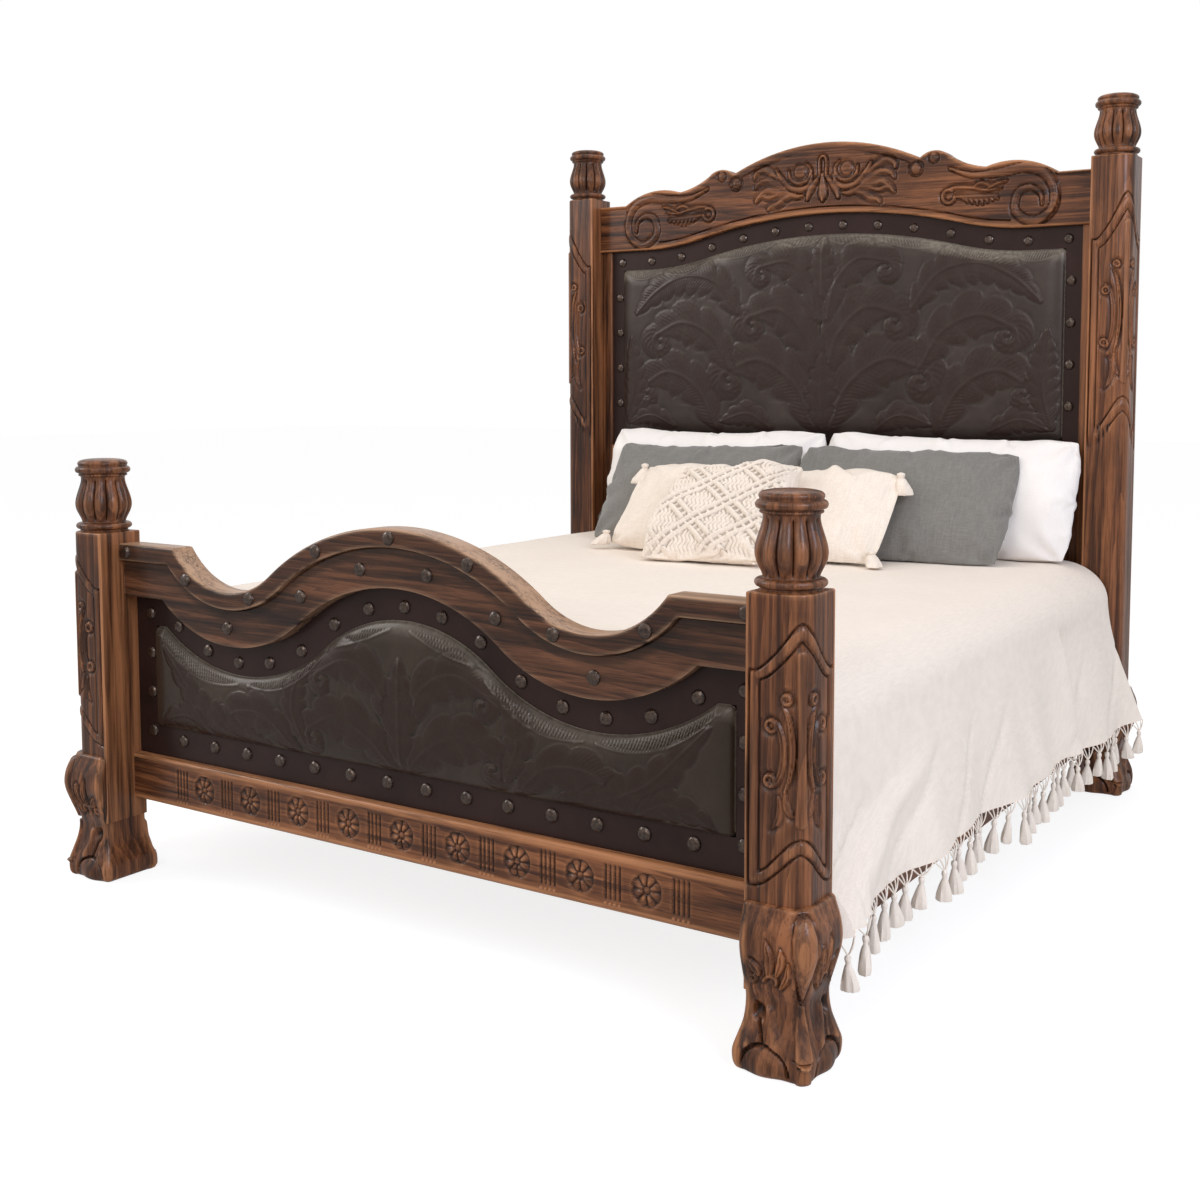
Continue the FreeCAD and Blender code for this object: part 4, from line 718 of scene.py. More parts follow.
def crestRelief(across, up):
    # centre volutes: an eye with rolls that sweep under it to the fleur
    half = [dot((.088, 2.007), .0250, .0065, flatTop)]
    for points, width, rise in (
            ([(.062, 2.034), (.045, 2.010), (.056, 1.980), (.090, 1.968), (.122, 1.984), (.130, 2.014)],
             .0072, .009),
            ([(.040, 1.988), (.052, 1.960), (.082, 1.946), (.121, 1.954), (.158, 1.988), (.178, 2.020)],
             .0105, .011),
            ([(.074, 1.926), (.098, 1.925), (.130, 1.936), (.165, 1.958), (.205, 1.982)], .0105, .010)):
        half.append(stroke(points, width, ((0, .45), (.3, 1), (.8, .9), (1, .45)), rise, roundTop))
    # leaf: a broad palm with fingers that hook at their tips
    for points, width in (
            ([(.150, 1.955), (.185, 1.972), (.214, 1.992)], .029),
            ([(.140, 1.940), (.172, 1.944), (.206, 1.950)], .028),
            ([(.170, 1.990), (.202, 2.012), (.232, 2.024), (.260, 2.012), (.264, 1.996)], .0170),
            ([(.190, 1.978), (.222, 1.988), (.250, 1.978), (.260, 1.964)], .0165),
            ([(.180, 1.950), (.216, 1.954), (.244, 1.936), (.260, 1.916)], .0170),
            ([(.170, 1.936), (.206, 1.928), (.232, 1.934), (.250, 1.928)], .0125),
            ([(.115, 1.930), (.148, 1.920), (.176, 1.902), (.200, 1.896), (.210, 1.886)], .0185)):
        half.append(stroke(points, width, ((0, .6), (.35, 1), (.75, .75), (1, .42)), .0095, softTop))
    half.append((curved([(.012, 1.988), (.032, 1.964), (.050, 1.938), (.058, 1.912)]),
                 np.interp(np.arange(25), (0, 14, 24), (.006, .0135, .006)), .0105, roundTop))
    # leaf spray between the arch and the end scroll: a curl, a stem, lobes above and a saw edge below
    half.append((spiral((.452, 1.886), .0215, .0205, 60, .82), .0060, .009, roundTop))
    half.append(dot((.452, 1.886), .0100, .006))
    for points, width in (
            ([(.440, 1.904), (.476, 1.914), (.530, 1.908), (.580, 1.898), (.627, 1.902)], .0100),
            ([(.530, 1.908), (.556, 1.922), (.580, 1.917), (.590, 1.908)], .0100),
            ([(.580, 1.902), (.612, 1.916), (.645, 1.924)], .0085),
            ([(.480, 1.884), (.530, 1.880), (.575, 1.878), (.610, 1.880)], .0150)):
        half.append(stroke(points, width, ((0, .5), (.4, 1), (.8, .8), (1, .4)), .0085, softTop))
    for i in range(7):
        x, tip = .505 + i * .0165, 1.852 + .012 * abs(i - 2.5) / 2.5
        half.append((bowed((x, 1.876), (x + .012, tip), .1), np.linspace(.0075, .0035, 9), .0075, roundTop))
    # button that ends the arch's rim, the rolled nub, and the fleur: a tulip over a drop
    button = (.338, 1.986)
    half += [dot(button, .0195, .012), dot((.398, 2.016), .0165, .009)]
    tulip = curved([(.012, 1.996), (.0135, 2.020), (.0125, 2.042), (.006, 2.053), (0, 2.055)])
    drop = np.array([(0, 1.992), (0, 1.950), (0, 1.925), (0, 1.903)])
    fleur = [(np.vstack([tulip, tulip[::-1] * flip]), .0052, .010, roundTop),
             (drop, np.array([.007, .0155, .0180, .004]), .0130, roundTop)]
    relief = carve(across, up, mirrored(half) + fleur, .0060, .009)
    # end scrolls: a rising roll that winds round a flat disc
    winding = curved([(.455, 1.976), (.530, 1.950), (.620, 1.950), (.700, 1.960), (.765, 1.938),
                      (.796, 1.885), (.790, 1.824), (.734, 1.790), (.676, 1.822), (.680, 1.878),
                      (.718, 1.897), (.754, 1.876), (.760, 1.840)], 7)
    width = tapered(.0155, winding, ((0, .3), (.2, 1), (.75, .85), (1, .25)))
    relief += carve(across, up, mirrored([(winding, width, .0090, roundTop)]), .0050, .007)
    # grooves: along the arch's rim, above the lower edge and round the button
    rim = [(x, float(crestTop(x)) - .030) for x in np.linspace(.07, .318, 9)]
    low = [(x, float(waveHeight(headWave, 0, x)) + .022) for x in np.linspace(0, .66, 22)]
    cuts = [(rim, tapered(.004, rim, ((0, .2), (.5, 1), (1, 1))), .0045, softTop),
            (low, .0034, .0070, softTop), (spiral(button, .027, .027, 150, .8), .0035, .006, softTop)]
    relief -= carve(across, up, mirrored(cuts))
    # the ground drops outside the end scrolls, and all carving fades at the upper edge
    place, discX, discZ = np.abs(across), .715, 1.880
    relief -= .008 * eased(np.hypot(place - discX, (up - discZ) * .92), .096, .101) * (place > discX)
    return relief * eased(crestTop(across) - up, .004, .012)


def pieceName(node):
    return node.title().replace("_", "")


def makeHeadboard():
    x = stationsOf(boardHalf, crest["step"])
    top = sweptBoard("headboardCrest", x, waveHeight(headWave, 0, x), crestTop(x), span("headboard_crest")[1],
                     crest["edge"], crest["rows"], crestRelief)
    finishWood(top, "headboard_crest", "walnutAlong", full=.0085, rounds=36)
    x = stationsOf(span("headboard_stile_right")[0][0] + panelFrame["lap"], panelFrame["railStep"])
    for node in ("headboard_middle_rail", "headboard_bottom_rail"):
        _, faces, (low, high) = span(node)
        rail = sweptBoard(pieceName(node), x, low, high, faces, panelFrame["railEdge"], 6)
        finishWood(rail, node, "walnutAlong", full=.004, rounds=6)
    for node in ("headboard_stile_right", "headboard_stile_left", "headboard_muntin"):
        (left, right), faces, (low, high) = span(node)
        if "muntin" in node:  # its tenons stay inside the rails
            low, high = span("headboard_bottom_rail")[2][1], span("headboard_middle_rail")[2][0]
            left, right = -panelFrame["muntinHalf"], panelFrame["muntinHalf"]
        z = np.linspace(low, high, panelFrame["stileRows"])
        stile = sweptBoard(pieceName(node), z, left, right, faces, panelFrame["stileEdge"], 5, upright=True)
        finishWood(stile, node, "walnutUpright", full=.004, rounds=6)


makeHeadboard()
print("headboard woodwork ready")


# Posts: a square section with one large rounded corner, carved round that corner
post = dict(round=.042, soft=.004, faceSteps=44, roundSteps=28, plainSteps=4, carvedStep=.0027,
            plainStep=.018)
postCarving = dict(foot=dict(start=.330, end=.868, shift=0, stretch=1),
                   head=dict(start=1.150, end=1.930, shift=.540, stretch=1.56))
sideNames = ("right", "left")


def sectionLoop(inner, outer, front, back, big, soft, steps):
    # Points, outward normals and the distance from the rounded corner, once round the section
    def side(start, end, normal, count):
        share = np.linspace(0, 1, count + 1)[:, None]
        return np.array(start) + (np.array(end) - np.array(start)) * share, np.repeat([normal], count + 1, 0)

    def turn(centre, radius, first, count):
        angle = math.radians(first) - np.linspace(0, quarter, count + 1)
        normal = np.stack([np.cos(angle), np.sin(angle)], -1)
        return np.array(centre) + normal * radius, normal

    face, plain = steps["faceSteps"], steps["plainSteps"]
    parts = [side((-inner + soft, front), (outer - big, front), (0, 1), face),
             turn((outer - big, front - big), big, 90, steps["roundSteps"]),
             side((outer, front - big), (outer, -back + soft), (1, 0), face),
             turn((outer - soft, -back + soft), soft, 0, 3),
             side((outer - soft, -back), (-inner + soft, -back), (0, -1), plain),
             turn((-inner + soft, -back + soft), soft, -90, 3),
             side((-inner, -back + soft), (-inner, front - soft), (-1, 0), plain),
             turn((-inner + soft, front - soft), soft, 180, 3)]
    spots, normals = (np.vstack([part[k][1:] if i else part[k] for i, part in enumerate(parts)])
                      for k in (0, 1))
    walked = np.concatenate([[0], np.cumsum(np.linalg.norm(np.diff(spots, axis=0), axis=1))])
    return spots, normals, walked - walked[face + steps["roundSteps"] // 2]


def carvedEnd(steps):
    # Column where the two carved faces end
    return steps["faceSteps"] * 2 + steps["roundSteps"]


def postRelief(across, up, shift, stretch):
    # Carving round the corner, drawn for the foot posts and moved or stretched for the head posts
    def at(points):
        return [(w, shift + z * stretch) for w, z in points]

    grooves = [curved(at(points)) for points in (
        [(.106, .755), (.088, .757), (.056, .785), (.032, .813), (.013, .837), (0, .845)],
        [(.085, .737), (.065, .747), (.037, .773), (.012, .800), (0, .812)],
        [(.085, .380), (.070, .389), (.047, .413), (.020, .440), (0, .448)],
        [(.106, .350), (.080, .356), (.050, .380), (.020, .408), (0, .420)])]
    grooves += [at([(.106, .350), (.106, .755)]), at([(.085, .380), (.085, .737)])]
    relief = -carve(across, up, mirrored([(line, .0034, .0052, softTop) for line in grooves]))
    mouldings = [curved(at(points)) for points in (
        [(.096, .368), (.096, .560), (.096, .745)],
        [(.096, .746), (.076, .752), (.046, .780), (.020, .812), (0, .829)],
        [(.096, .366), (.074, .372), (.048, .397), (.020, .424), (0, .434)])]
    relief += carve(across, up, mirrored([(line, .0085, .0026, roundTop) for line in mouldings]))
    # scrolls with curls at their ends, leaves under them and a rib down the corner
    scrolls = [stroke(at([(.062, .666), (.048, .655), (.037, .620), (.040, .575), (.055, .545),
                          (.066, .548)]), .0085, ((0, .5), (.45, 1), (1, .5)), .0060, leafTop),
               stroke(at([(.038, .694), (.024, .665), (.0175, .612), (.022, .565), (.032, .536)]),
                      .0085, ((0, .3), (.5, 1), (1, .3)), .0065, leafTop)]
    for curl, radius in (((.061, .655), .0115), ((.063, .553), .0115), ((.030, .706), .0095)):
        ring = spiral(at([curl])[0], radius, radius * .8, 200, .95)
        scrolls += [(ring, .0042, .0065, roundTop), dot(at([curl])[0], radius * .45, .0035)]
    for root, tip, bow in (((.032, .530), (.012, .488), .15), ((.046, .522), (.060, .462), -.15)):
        path = bowed(*at([root, tip]), bow)
        scrolls.append((path, tapered(.009, path), .0045, leafTop))
    relief += carve(across, up, mirrored(scrolls), .0045, .012)
    rib = at([(0, .785), (0, .740), (0, .620), (0, .540), (0, .480)])
    crown = carve(across, up, [(rib, np.array([.0125, .0110, .0088, .0110, .0130]), .0050, flatTop)])
    return np.where(crown > 0, np.maximum(relief, crown - .0005), relief)


def makePost(node, name, carving):
    (left, right), (near, far), (low, high) = span(node)
    side = 1 if left > 0 else -1
    half, centreX, centreY = (right - left) / 2, (left + right) / 2, (near + far) / 2
    soft, plainStep = post["soft"], post["plainStep"]
    spots, normals, walked = sectionLoop(half, half, half, half, post["round"], soft, post)
    turn = np.linspace(0, quarter, 5)
    z = np.concatenate([np.arange(low, carving["start"], plainStep),
                        np.arange(carving["start"], carving["end"], post["carvedStep"]),
                        np.arange(carving["end"], high - soft, plainStep), high - soft + soft * np.sin(turn)])
    inset = np.concatenate([np.zeros(len(z) - 5), soft * (1 - np.cos(turn))])
    across, up = np.meshgrid(walked, z)
    carved = np.abs(across) <= walked[carvedEnd(post)] + 1e-6
    relief = postRelief(across, up, carving["shift"], carving["stretch"])
    raised = np.where(carved, relief, 0) - inset[:, None]
    wide, deep = (spots[None, :, k] + normals[None, :, k] * raised for k in (0, 1))
    piece = shapedGrid(name, np.stack([centreX + side * wide, centreY - deep, up], -1), caps=True)
    finishWood(piece, node, "walnutUpright", full=.0048, rounds=34)


for sideName in sideNames:
    for end, carving in postCarving.items():
        makePost(f"{end}_post_{sideName}", f"{end}Post{sideName.title()}", carving)
print("posts ready")


# Finials: a turned profile, with lobes worked round the bulb and a beaded ring over it
finial = dict(lobes=12, columns=192, groove=.17, bulb=(.022, .139), beads=44, beadZ=.1455, beadHalf=.003,
              beadRise=.012, profile=(
    (.0, .0), (.056, .0), (.058, .002), (.0585, .006), (.064, .008), (.0675, .012), (.068, .0155),
    (.0665, .0195), (.062, .0225), (.055, .0235), (.0535, .026), (.0565, .034), (.0615, .044), (.0665, .055),
    (.0690, .067), (.0685, .079), (.0655, .092), (.0610, .106), (.0570, .118), (.0545, .128), (.0535, .136),
    (.0540, .1405), (.0575, .1425), (.0590, .1455), (.0575, .148), (.0600, .1495), (.0650, .152),
    (.0672, .1565), (.0668, .1615), (.0635, .1655), (.0595, .1670), (.0598, .1700), (.0610, .1735),
    (.0600, .1775), (.0555, .1815), (.0450, .1845), (.0300, .1862), (.0150, .1868), (.0, .1870)))


def makeFinial(node, name):
    (left, right), (near, far), (_, high) = span(node)
    line = curved(finial["profile"], 3)
    radius, rise = np.clip(line[:, :1], 0, None), line[:, 1:]
    angle = np.linspace(0, 2 * math.pi, finial["columns"] + 1)
    start, end = finial["bulb"]
    fade = eased(rise, start, start + .016) * eased(-rise, -end, -end + .012)
    lobe = 1 - np.abs(np.sin(finial["lobes"] / 2 * angle)) ** .55
    ringed = np.abs(rise - finial["beadZ"]) < finial["beadHalf"]
    bead = 1 + finial["beadRise"] * np.sin(finial["beads"] * angle) * ringed
    reach = radius * (1 - finial["groove"] * fade * lobe) * bead
    seat = high - finial["profile"][-1][1]
    points = np.stack([(left + right) / 2 + reach * np.cos(angle), (near + far) / 2 + reach * np.sin(angle),
                       np.broadcast_to(seat + rise, reach.shape)], -1)
    finishWood(shapedGrid(name, points), node, "walnutUpright", angle=55, full=.0040, rounds=16)


for end in ("foot", "head"):
    for sideName in sideNames:
        makeFinial(f"{end}_finial_{sideName}", f"{end}Finial{sideName.title()}")
print("finials ready")


# Claw feet: a section that swells at the knee, draws in at the ankle and spreads at the paw
clawFoot = dict(
    step=.0027, faceSteps=46, roundSteps=22, plainSteps=26, soleEdge=.003, topEdge=.006, softCorner=.012,
    boardFace=.0612, knee=(.095, .170), ankle=(.13, .15),
    inner=((.0, .072), (.012, .0775), (.038, .0785), (.065, .071), (.095, .0625), (.138, .0600),
           (.194, .0605), (.322, .0610)),
    outer=((.0, .074), (.012, .0795), (.038, .0810), (.065, .0745), (.095, .0665), (.120, .0625),
           (.142, .0625), (.170, .0700), (.194, .0775), (.225, .0860), (.250, .0885), (.280, .0845),
           (.310, .0745), (.322, .0715)),
    cornerR=((.0, .020), (.040, .028), (.095, .030), (.150, .034), (.230, .040), (.322, .040)))


def clawRelief(across, up):
    # knee: a smooth drop on the corner and a flame of leaves on each face, with two curls at their root
    leafShares = ((0, .5), (.35, 1), (.7, .7), (1, .08))
    half = [stroke(points, width, leafShares, .0085, leafTop) for points, width in (
        ([(.070, .194), (.074, .226), (.083, .262)], .0120),
        ([(.090, .192), (.103, .206), (.120, .222)], .0105),
        ([(.054, .198), (.050, .226), (.053, .252)], .0100),
        ([(.042, .172), (.034, .198), (.036, .228)], .0085))]
    half += [(spiral((.064, .180), .0140, .0120, 0, .56), .0046, .0072, roundTop),
             (spiral((.101, .179), .0105, .0045, -30, 1.0), .0042, .0072, roundTop)]
    drop = np.array([(0, .304), (0, .292), (0, .270), (0, .245), (0, .205), (0, .152)])
    dropWidth = np.array([.010, .021, .0270, .0265, .017, .002])
    relief = carve(across, up, mirrored(half), .0045, .010)
    relief += carve(across, up, [(drop, dropWidth, .0125, roundTop)], .0045, .007)
    # paw: two bulges beside a split under a pit, a broad toe on each face, a facet and a claw on the corner
    bulges = [(curved(points), np.linspace(*width, 17), .0075, top) for points, width, top in (
        ([(.060, .122), (.060, .096), (.056, .066)], (.013, .021), softTop),
        ([(.106, .122), (.110, .096), (.118, .058)], (.012, .020), softTop),
        ([(.0, .138), (.0, .100), (.0, .050)], (.007, .019), flatTop))]
    relief += carve(across, up, mirrored(bulges))
    toes = [([(.084, -.010), (.084, .012)], .044, .0085, softTop),
            ([(.0, .034), (.0, .002)], np.array([.009, .016]), .006, roundTop),
            ([(.142, .040), (.143, .004)], np.array([.010, .015]), .005, softTop)]
    relief += carve(across, up, mirrored(toes))
    cuts = [dot((.085, .116), .022, .0165, softTop), ([(.085, .100), (.085, .060)], .0060, .0105, softTop),
            (spiral((.084, .008), .050, .050, 4, .478), .0046, .0092, softTop),
            dot((.012, .034), .0060, .004, softTop), ([(.130, .046), (.148, .040)], .0028, .0040, softTop),
            ([(.0, .042), (.022, .046)], .0030, .0040, softTop)]
    return relief - carve(across, up, mirrored(cuts))


def makeClawFoot(node, name, postNode):
    (left, right), (near, far), _ = span(postNode)
    side = 1 if left > 0 else -1
    centreX, centreY = (left + right) / 2, (near + far) / 2
    isHead = centreY > 0
    top = span(node)[2][1]
    sole, soft, turn = clawFoot["soleEdge"], clawFoot["topEdge"], np.linspace(0, quarter, 5)
    z = np.concatenate([sole * np.sin(turn), np.arange(.0055, top - soft, clawFoot["step"]),
                        top - soft + soft * np.sin(turn)])
    inset = np.concatenate([sole * (1 - np.sin(turn)), np.zeros(len(z) - 10), soft * (1 - np.cos(turn))])
    lines = [curved(clawFoot[line], 12) for line in ("inner", "outer", "cornerR")]
    inner, outer, corner = (np.interp(z, line[:, 0], line[:, 1]) for line in lines)
    # a head foot stays flat towards the bed, and its back swells
    front = outer + (clawFoot["boardFace"] - outer) * eased(z, *clawFoot["knee"]) if isHead else outer
    back = outer if isHead else inner
    loops = [sectionLoop(*row, clawFoot["softCorner"], clawFoot)
             for row in zip(inner, outer, front, back, corner)]
    spots, normals, across = (np.array([loop[k] for loop in loops]) for k in range(3))
    up = np.broadcast_to(z[:, None], across.shape)
    column = np.arange(across.shape[1])[None]
    last = carvedEnd(clawFoot)
    raised = clawRelief(across, up) * eased(across[:, last:last + 1] - np.abs(across), .002, .016)
    ankle, shin = clawFoot["ankle"]
    lowOnly = eased(-up, -shin, -ankle)
    if isHead:
        raised = np.where((column < clawFoot["faceSteps"]) & (up > ankle), raised * lowOnly, raised)
    # the hidden half of the paw repeats its tendons and toes, measured from its own corner
    backWalk = across - across[:, last + 2:last + 3]
    hidden = clawRelief(backWalk, up) * lowOnly * eased(np.abs(backWalk), .004, .022)
    raised = np.where(column > last, hidden, raised) - inset[:, None]
    points = spots + normals * raised[..., None]
    points = np.stack([centreX + side * points[..., 0], centreY - points[..., 1], up], -1)
    finishWood(shapedGrid(name, points, caps=True), node, "walnutUpright", full=.0058, rounds=44)


for end in ("foot", "head"):
    for sideName in sideNames:
        makeClawFoot(f"{end}_claw_foot_{sideName}", f"{end}ClawFoot{sideName.title()}",
                     f"{end}_post_{sideName}")
print("claw feet ready")


# Plain CAD pieces keep their shape and get a finish
keptFinish = dict(
    walnutDeep=("side_rail",), walnutUpright=("headboard_lower_panel",),
    backing=("footboard_panel", "headboard_panel"), pineDeep=("slat_ledger", "centre_beam"),
    pineAlong=("slats", "centre_leg"), borderHide=("footboard_leather_border", "headboard_leather_border"),
    steel=("rail_hook", "post_receiver", "hook_plate", "receiver_plate", "ledger_screws"))
for node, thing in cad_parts.items():
    for finish, starts in keptFinish.items():
        if node.startswith(starts):
            thing.data.materials.clear()
            thing.data.materials.append(finishes[finish])
print("plain pieces finished")


# Tooled hide pads: a rolled edge, a gentle crown and broad feathery leaves worked into the face
def plume(points, width, lobes, curl=0.0):
    # One leaf: a spine, its greatest half width, its number of lobes; curl bends the tip into a spiral
    spine = curved(points, 10)
    if curl:
        way = spine[-1] - spine[-3]
        side = math.copysign(1, curl)
        radius = abs(curl)
        start = math.degrees(math.atan2(way[1], way[0])) - 90 * side
        centre = spine[-1] + radius * np.array([-way[1], way[0]]) / np.linalg.norm(way) * side
        spine = np.vstack([spine, spiral(centre, radius, radius * .3, start, .95 * side)[1:]])
    return spine, width, lobes


def mirroredPlumes(plumes):
    return plumes + [(spine * flip, width, lobes) for spine, width, lobes in plumes]


def worksLeaves(across, up, plumes, rise):
    # Leaves with a ridge along the spine, lobed edges, ribs that sweep to the tip and a groove round them
    relief, tint = np.zeros(across.shape), np.zeros(across.shape)
    for spine, width, lobes in plumes:
        inside, spot = nearby(across, up, spine, width * 1.25)
        steps = np.concatenate([[0], np.cumsum(np.linalg.norm(np.diff(spine, axis=0), axis=1))])
        away = np.full(len(spot), 9.0)
        walked, hand = np.zeros(len(spot)), np.zeros(len(spot))
        for i in range(len(spine) - 1):
            run = spine[i + 1] - spine[i]
            t, off = besideRun(spot, spine[i], run)
            near = np.linalg.norm(off, axis=1)
            closer = near < away
            away = np.where(closer, near, away)
            walked = np.where(closer, steps[i] + t * (steps[i + 1] - steps[i]), walked)
            hand = np.where(closer, np.sign(run[0] * off[:, 1] - run[1] * off[:, 0]), hand)
        share = walked / steps[-1]
        swept = share - .55 * away / steps[-1]
        lobe = np.abs(np.sin(math.pi * lobes * swept + .35 * hand)) ** .55
        half = width * np.interp(share, (0, .12, .45, .8, 1), (.30, .62, 1, .62, .16)) * (.66 + .34 * lobe)
        out = np.clip(away / half, 0, 2)
        rib = np.cos(2 * math.pi * (walked - .75 * away) / (width * .165))
        body = .72 + .20 * rib * eased(out, .08, .3) + .28 * lobe * eased(out, .2, .7)
        body = rise * (1 - out ** 2.2) * body + rise * .5 * np.clip(1 - away / (width * .10), 0, 1)
        edge = -rise * .42 * np.exp(-((out - 1.08) / .16) ** 2)
        under = relief[inside]
        relief[inside] = np.where(out < 1, np.maximum(under * .25, np.maximum(body, 0)),
                                  under + edge * (under <= 0))
        tint[inside] = np.maximum(tint[inside], eased(-out, -1.02, -.92) * (.62 + .38 * lobe))
    return relief, tint


comb = dict(pitch=.0085, slant=.35, narrow=.012, swell=.018, rise=.0017, rimRise=.0016, rimDrop=.007,
            rimHalf=.0030)


def edgeComb(across, up, wave, drop, start, end):
    # Fine teeth square to the upper edge, in a band that swells and fades between two places
    x = np.linspace(0, 1, 400)
    top = waveHeight(wave, drop, x)
    walked = np.concatenate([[0], np.cumsum(np.hypot(np.diff(x), np.diff(top)))])
    place = np.abs(across)
    slope = np.interp(place, x, np.gradient(top, x))
    below = (waveHeight(wave, drop, place) - up) / np.sqrt(1 + slope * slope)
    wide = comb["narrow"] + comb["swell"] * np.sin(math.pi * np.clip((place - start) / (end - start), 0, 1))
    band = eased(below, .005, .010) * eased(-below, -wide - .006, -wide)
    band = band * eased(place, start, start + .03) * eased(-place, -end, -end + .03)
    teeth = np.cos(2 * math.pi * (np.interp(place, x, walked) + comb["slant"] * below) / comb["pitch"])
    rim = np.exp(-((below - wide - comb["rimDrop"]) / comb["rimHalf"]) ** 2) * (place > start) * (place < end)
    return comb["rise"] * teeth * band + comb["rimRise"] * rim


def footTooling(across, up):
    leaves = [plume([(.02, .405), (.09, .470), (.19, .505), (.28, .470)], .066, 5, -.026),
              plume([(.02, .505), (.07, .600), (.16, .640), (.25, .605)], .058, 5, -.022),
              plume([(.33, .405), (.41, .470), (.51, .480), (.60, .440)], .056, 5, -.020),
              plume([(.43, .405), (.55, .425), (.66, .475), (.75, .560), (.80, .610)], .050, 7),
              plume([(.63, .405), (.70, .440), (.77, .430), (.81, .405)], .040, 4),
              plume([(.30, .430), (.335, .510), (.320, .580), (.270, .640)], .044, 5)]
    middle = [plume([(0, .420), (0, .540), (0, .660)], .058, 5)]
    relief, tint = worksLeaves(across, up, mirroredPlumes(leaves) + middle, .0029)
    for start, end in ((.03, .20), (.24, .50), (.53, .82)):
        relief = relief + edgeComb(across, up, footWave, .212, start, end)
    return relief, tint


def headTooling(across, up):
    leaves = [plume([(.03, 1.12), (.10, 1.27), (.24, 1.36), (.38, 1.32)], .104, 6, -.042),
              plume([(.02, 1.30), (.06, 1.44), (.16, 1.535), (.28, 1.515)], .094, 6, -.038),
              plume([(.02, 1.50), (.05, 1.62), (.13, 1.70), (.24, 1.69)], .074, 5, -.030),
              plume([(.42, 1.12), (.50, 1.26), (.62, 1.32), (.73, 1.27)], .090, 6, -.036),
              plume([(.36, 1.33), (.44, 1.45), (.56, 1.50), (.67, 1.46)], .088, 6, -.036),
              plume([(.33, 1.53), (.42, 1.64), (.55, 1.67), (.67, 1.62), (.76, 1.54)], .076, 8),
              plume([(.80, 1.14), (.77, 1.28), (.785, 1.45)], .060, 7),
              plume([(.60, 1.12), (.70, 1.16), (.79, 1.13)], .048, 4),
              plume([(.20, 1.12), (.29, 1.17), (.40, 1.14)], .052, 4)]
    middle = [plume([(0, 1.12), (0, 1.25), (0, 1.38)], .070, 5),
              plume([(0, 1.58), (0, 1.68), (0, 1.78)], .060, 5)]
    relief, tint = worksLeaves(across, up, mirroredPlumes(leaves) + middle, .0025)
    for start, end in ((.02, .16), (.20, .42), (.46, .64), (.67, .81)):
        relief = relief + .6 * edgeComb(across, up, headWave, .070, start, end)
    return relief, tint


# sheen and glow give the strength and the width of the painted highlight along each pad's upper roll
pads = (dict(node="footboard_leather_pad", name="footboardPad", wave=footWave, drop=.212, step=.0031,
             roll=.056, crown=.004, sheen=.50, glow=.050, tooling=footTooling, finish="footHide"),
        dict(node="headboard_leather_pad", name="headboardPad", wave=headWave, drop=.070, step=.0038,
             roll=.066, crown=.004, sheen=.92, glow=.062, tooling=headTooling, finish="headHideLit"))
padBlend = .007  # how softly the roll turns a corner


def crowded(count, pull=.4):
    # Shares from -1 to 1 that stand closer near both ends
    share = np.linspace(-1, 1, count)
    return share + pull * np.sin(math.pi * share) / math.pi


def makePad(pad):
    (_, half), (front, back), (low, high) = span(pad["node"])
    x = half * crowded(int(2 * half / pad["step"]))
    rise = (crowded(int((high - low) / pad["step"]))[:, None] + 1) / 2
    top = waveHeight(pad["wave"], pad["drop"], x)
    across = np.broadcast_to(x, (len(rise), len(x)))
    up = low + rise * (top - low)
    slope = np.cos(np.arctan(np.gradient(top, x)))
    edges = (half - np.abs(across), up - low, (top - up) * slope)
    inward = np.clip(-padBlend * np.log(sum(np.exp(-edge / padBlend) for edge in edges)), 0, None)
    roll = np.sqrt(np.clip(1 - (1 - np.clip(inward / pad["roll"], 0, 1)) ** 2, 0, 1))
    dome = pad["crown"] * (1 - (2 * rise - 1) ** 2) * (1 - (across / half) ** 4)
    relief, tint = pad["tooling"](across, up)
    out = (back - front - pad["crown"]) * roll + dome * roll + relief * eased(inward, .002, .016)
    piece = shapedGrid(pad["name"], np.stack([across, back - out, up], -1), caps=True)
    if vertexArray(piece.data, "normal")[:, 1].mean() > 0:  # its flat corners can turn a pad inside out
        piece.data.flip_normals()

    def sheen(spots, normals):  # painted highlight: the upper roll is painted bright, in patches, standing in for the lamps' gloss on it
        below = waveHeight(pad["wave"], pad["drop"], spots[:, 0]) - spots[:, 2]
        patches = .72 + .28 * latticeNoise(spots[:, 0] + 5, spots[:, 2], .09, 12)
        return pad["sheen"] * eased(-below, -pad["glow"], -.016) * patches

    finishPiece(piece, "frame", [pad["node"]], "tooled_leather", pad["finish"], angle=60, full=.0036,
                rounds=14, lift=sheen)
    paint(piece.data, "tint", np.resize(tint, len(piece.data.vertices)))


for pad in pads:
    makePad(pad)
print("hide pads ready")


# Clavos: one beaten dome, copied along a wave, up the sides and along a level foot
clavo = dict(radius=.0165, rise=.0095, segments=14, rings=8, dent=.0011, dentScale=230, crown=.25,
             turnStep=2.4)
clavoRows = (
    dict(kind="cap", on="footboard_cap", wave=footWave, drop=.0215, row=(np.arange(9) - 4) * .224),
    dict(kind="apron", on="footboard_apron", wave=footWave, drop=.0895,
         row=np.array([-.540, -.288, -.099, .099, .288, .540])),
    dict(kind="footboard", on="footboard_leather_border", wave=footWave, drop=.181,
         row=np.linspace(-.763, .763, 15), sideX=.868, sideZ=(.687, .585, .483, .381), footZ=.366,
         foot=np.linspace(-.754, .754, 14)),
    dict(kind="headboard", on="headboard_leather_border", wave=headWave, drop=.040,
         row=np.linspace(-.839, .839, 14), sideX=.850, sideZ=(1.600, 1.468, 1.336, 1.204), footZ=1.072,
         foot=np.linspace(-.839, .839, 14)))


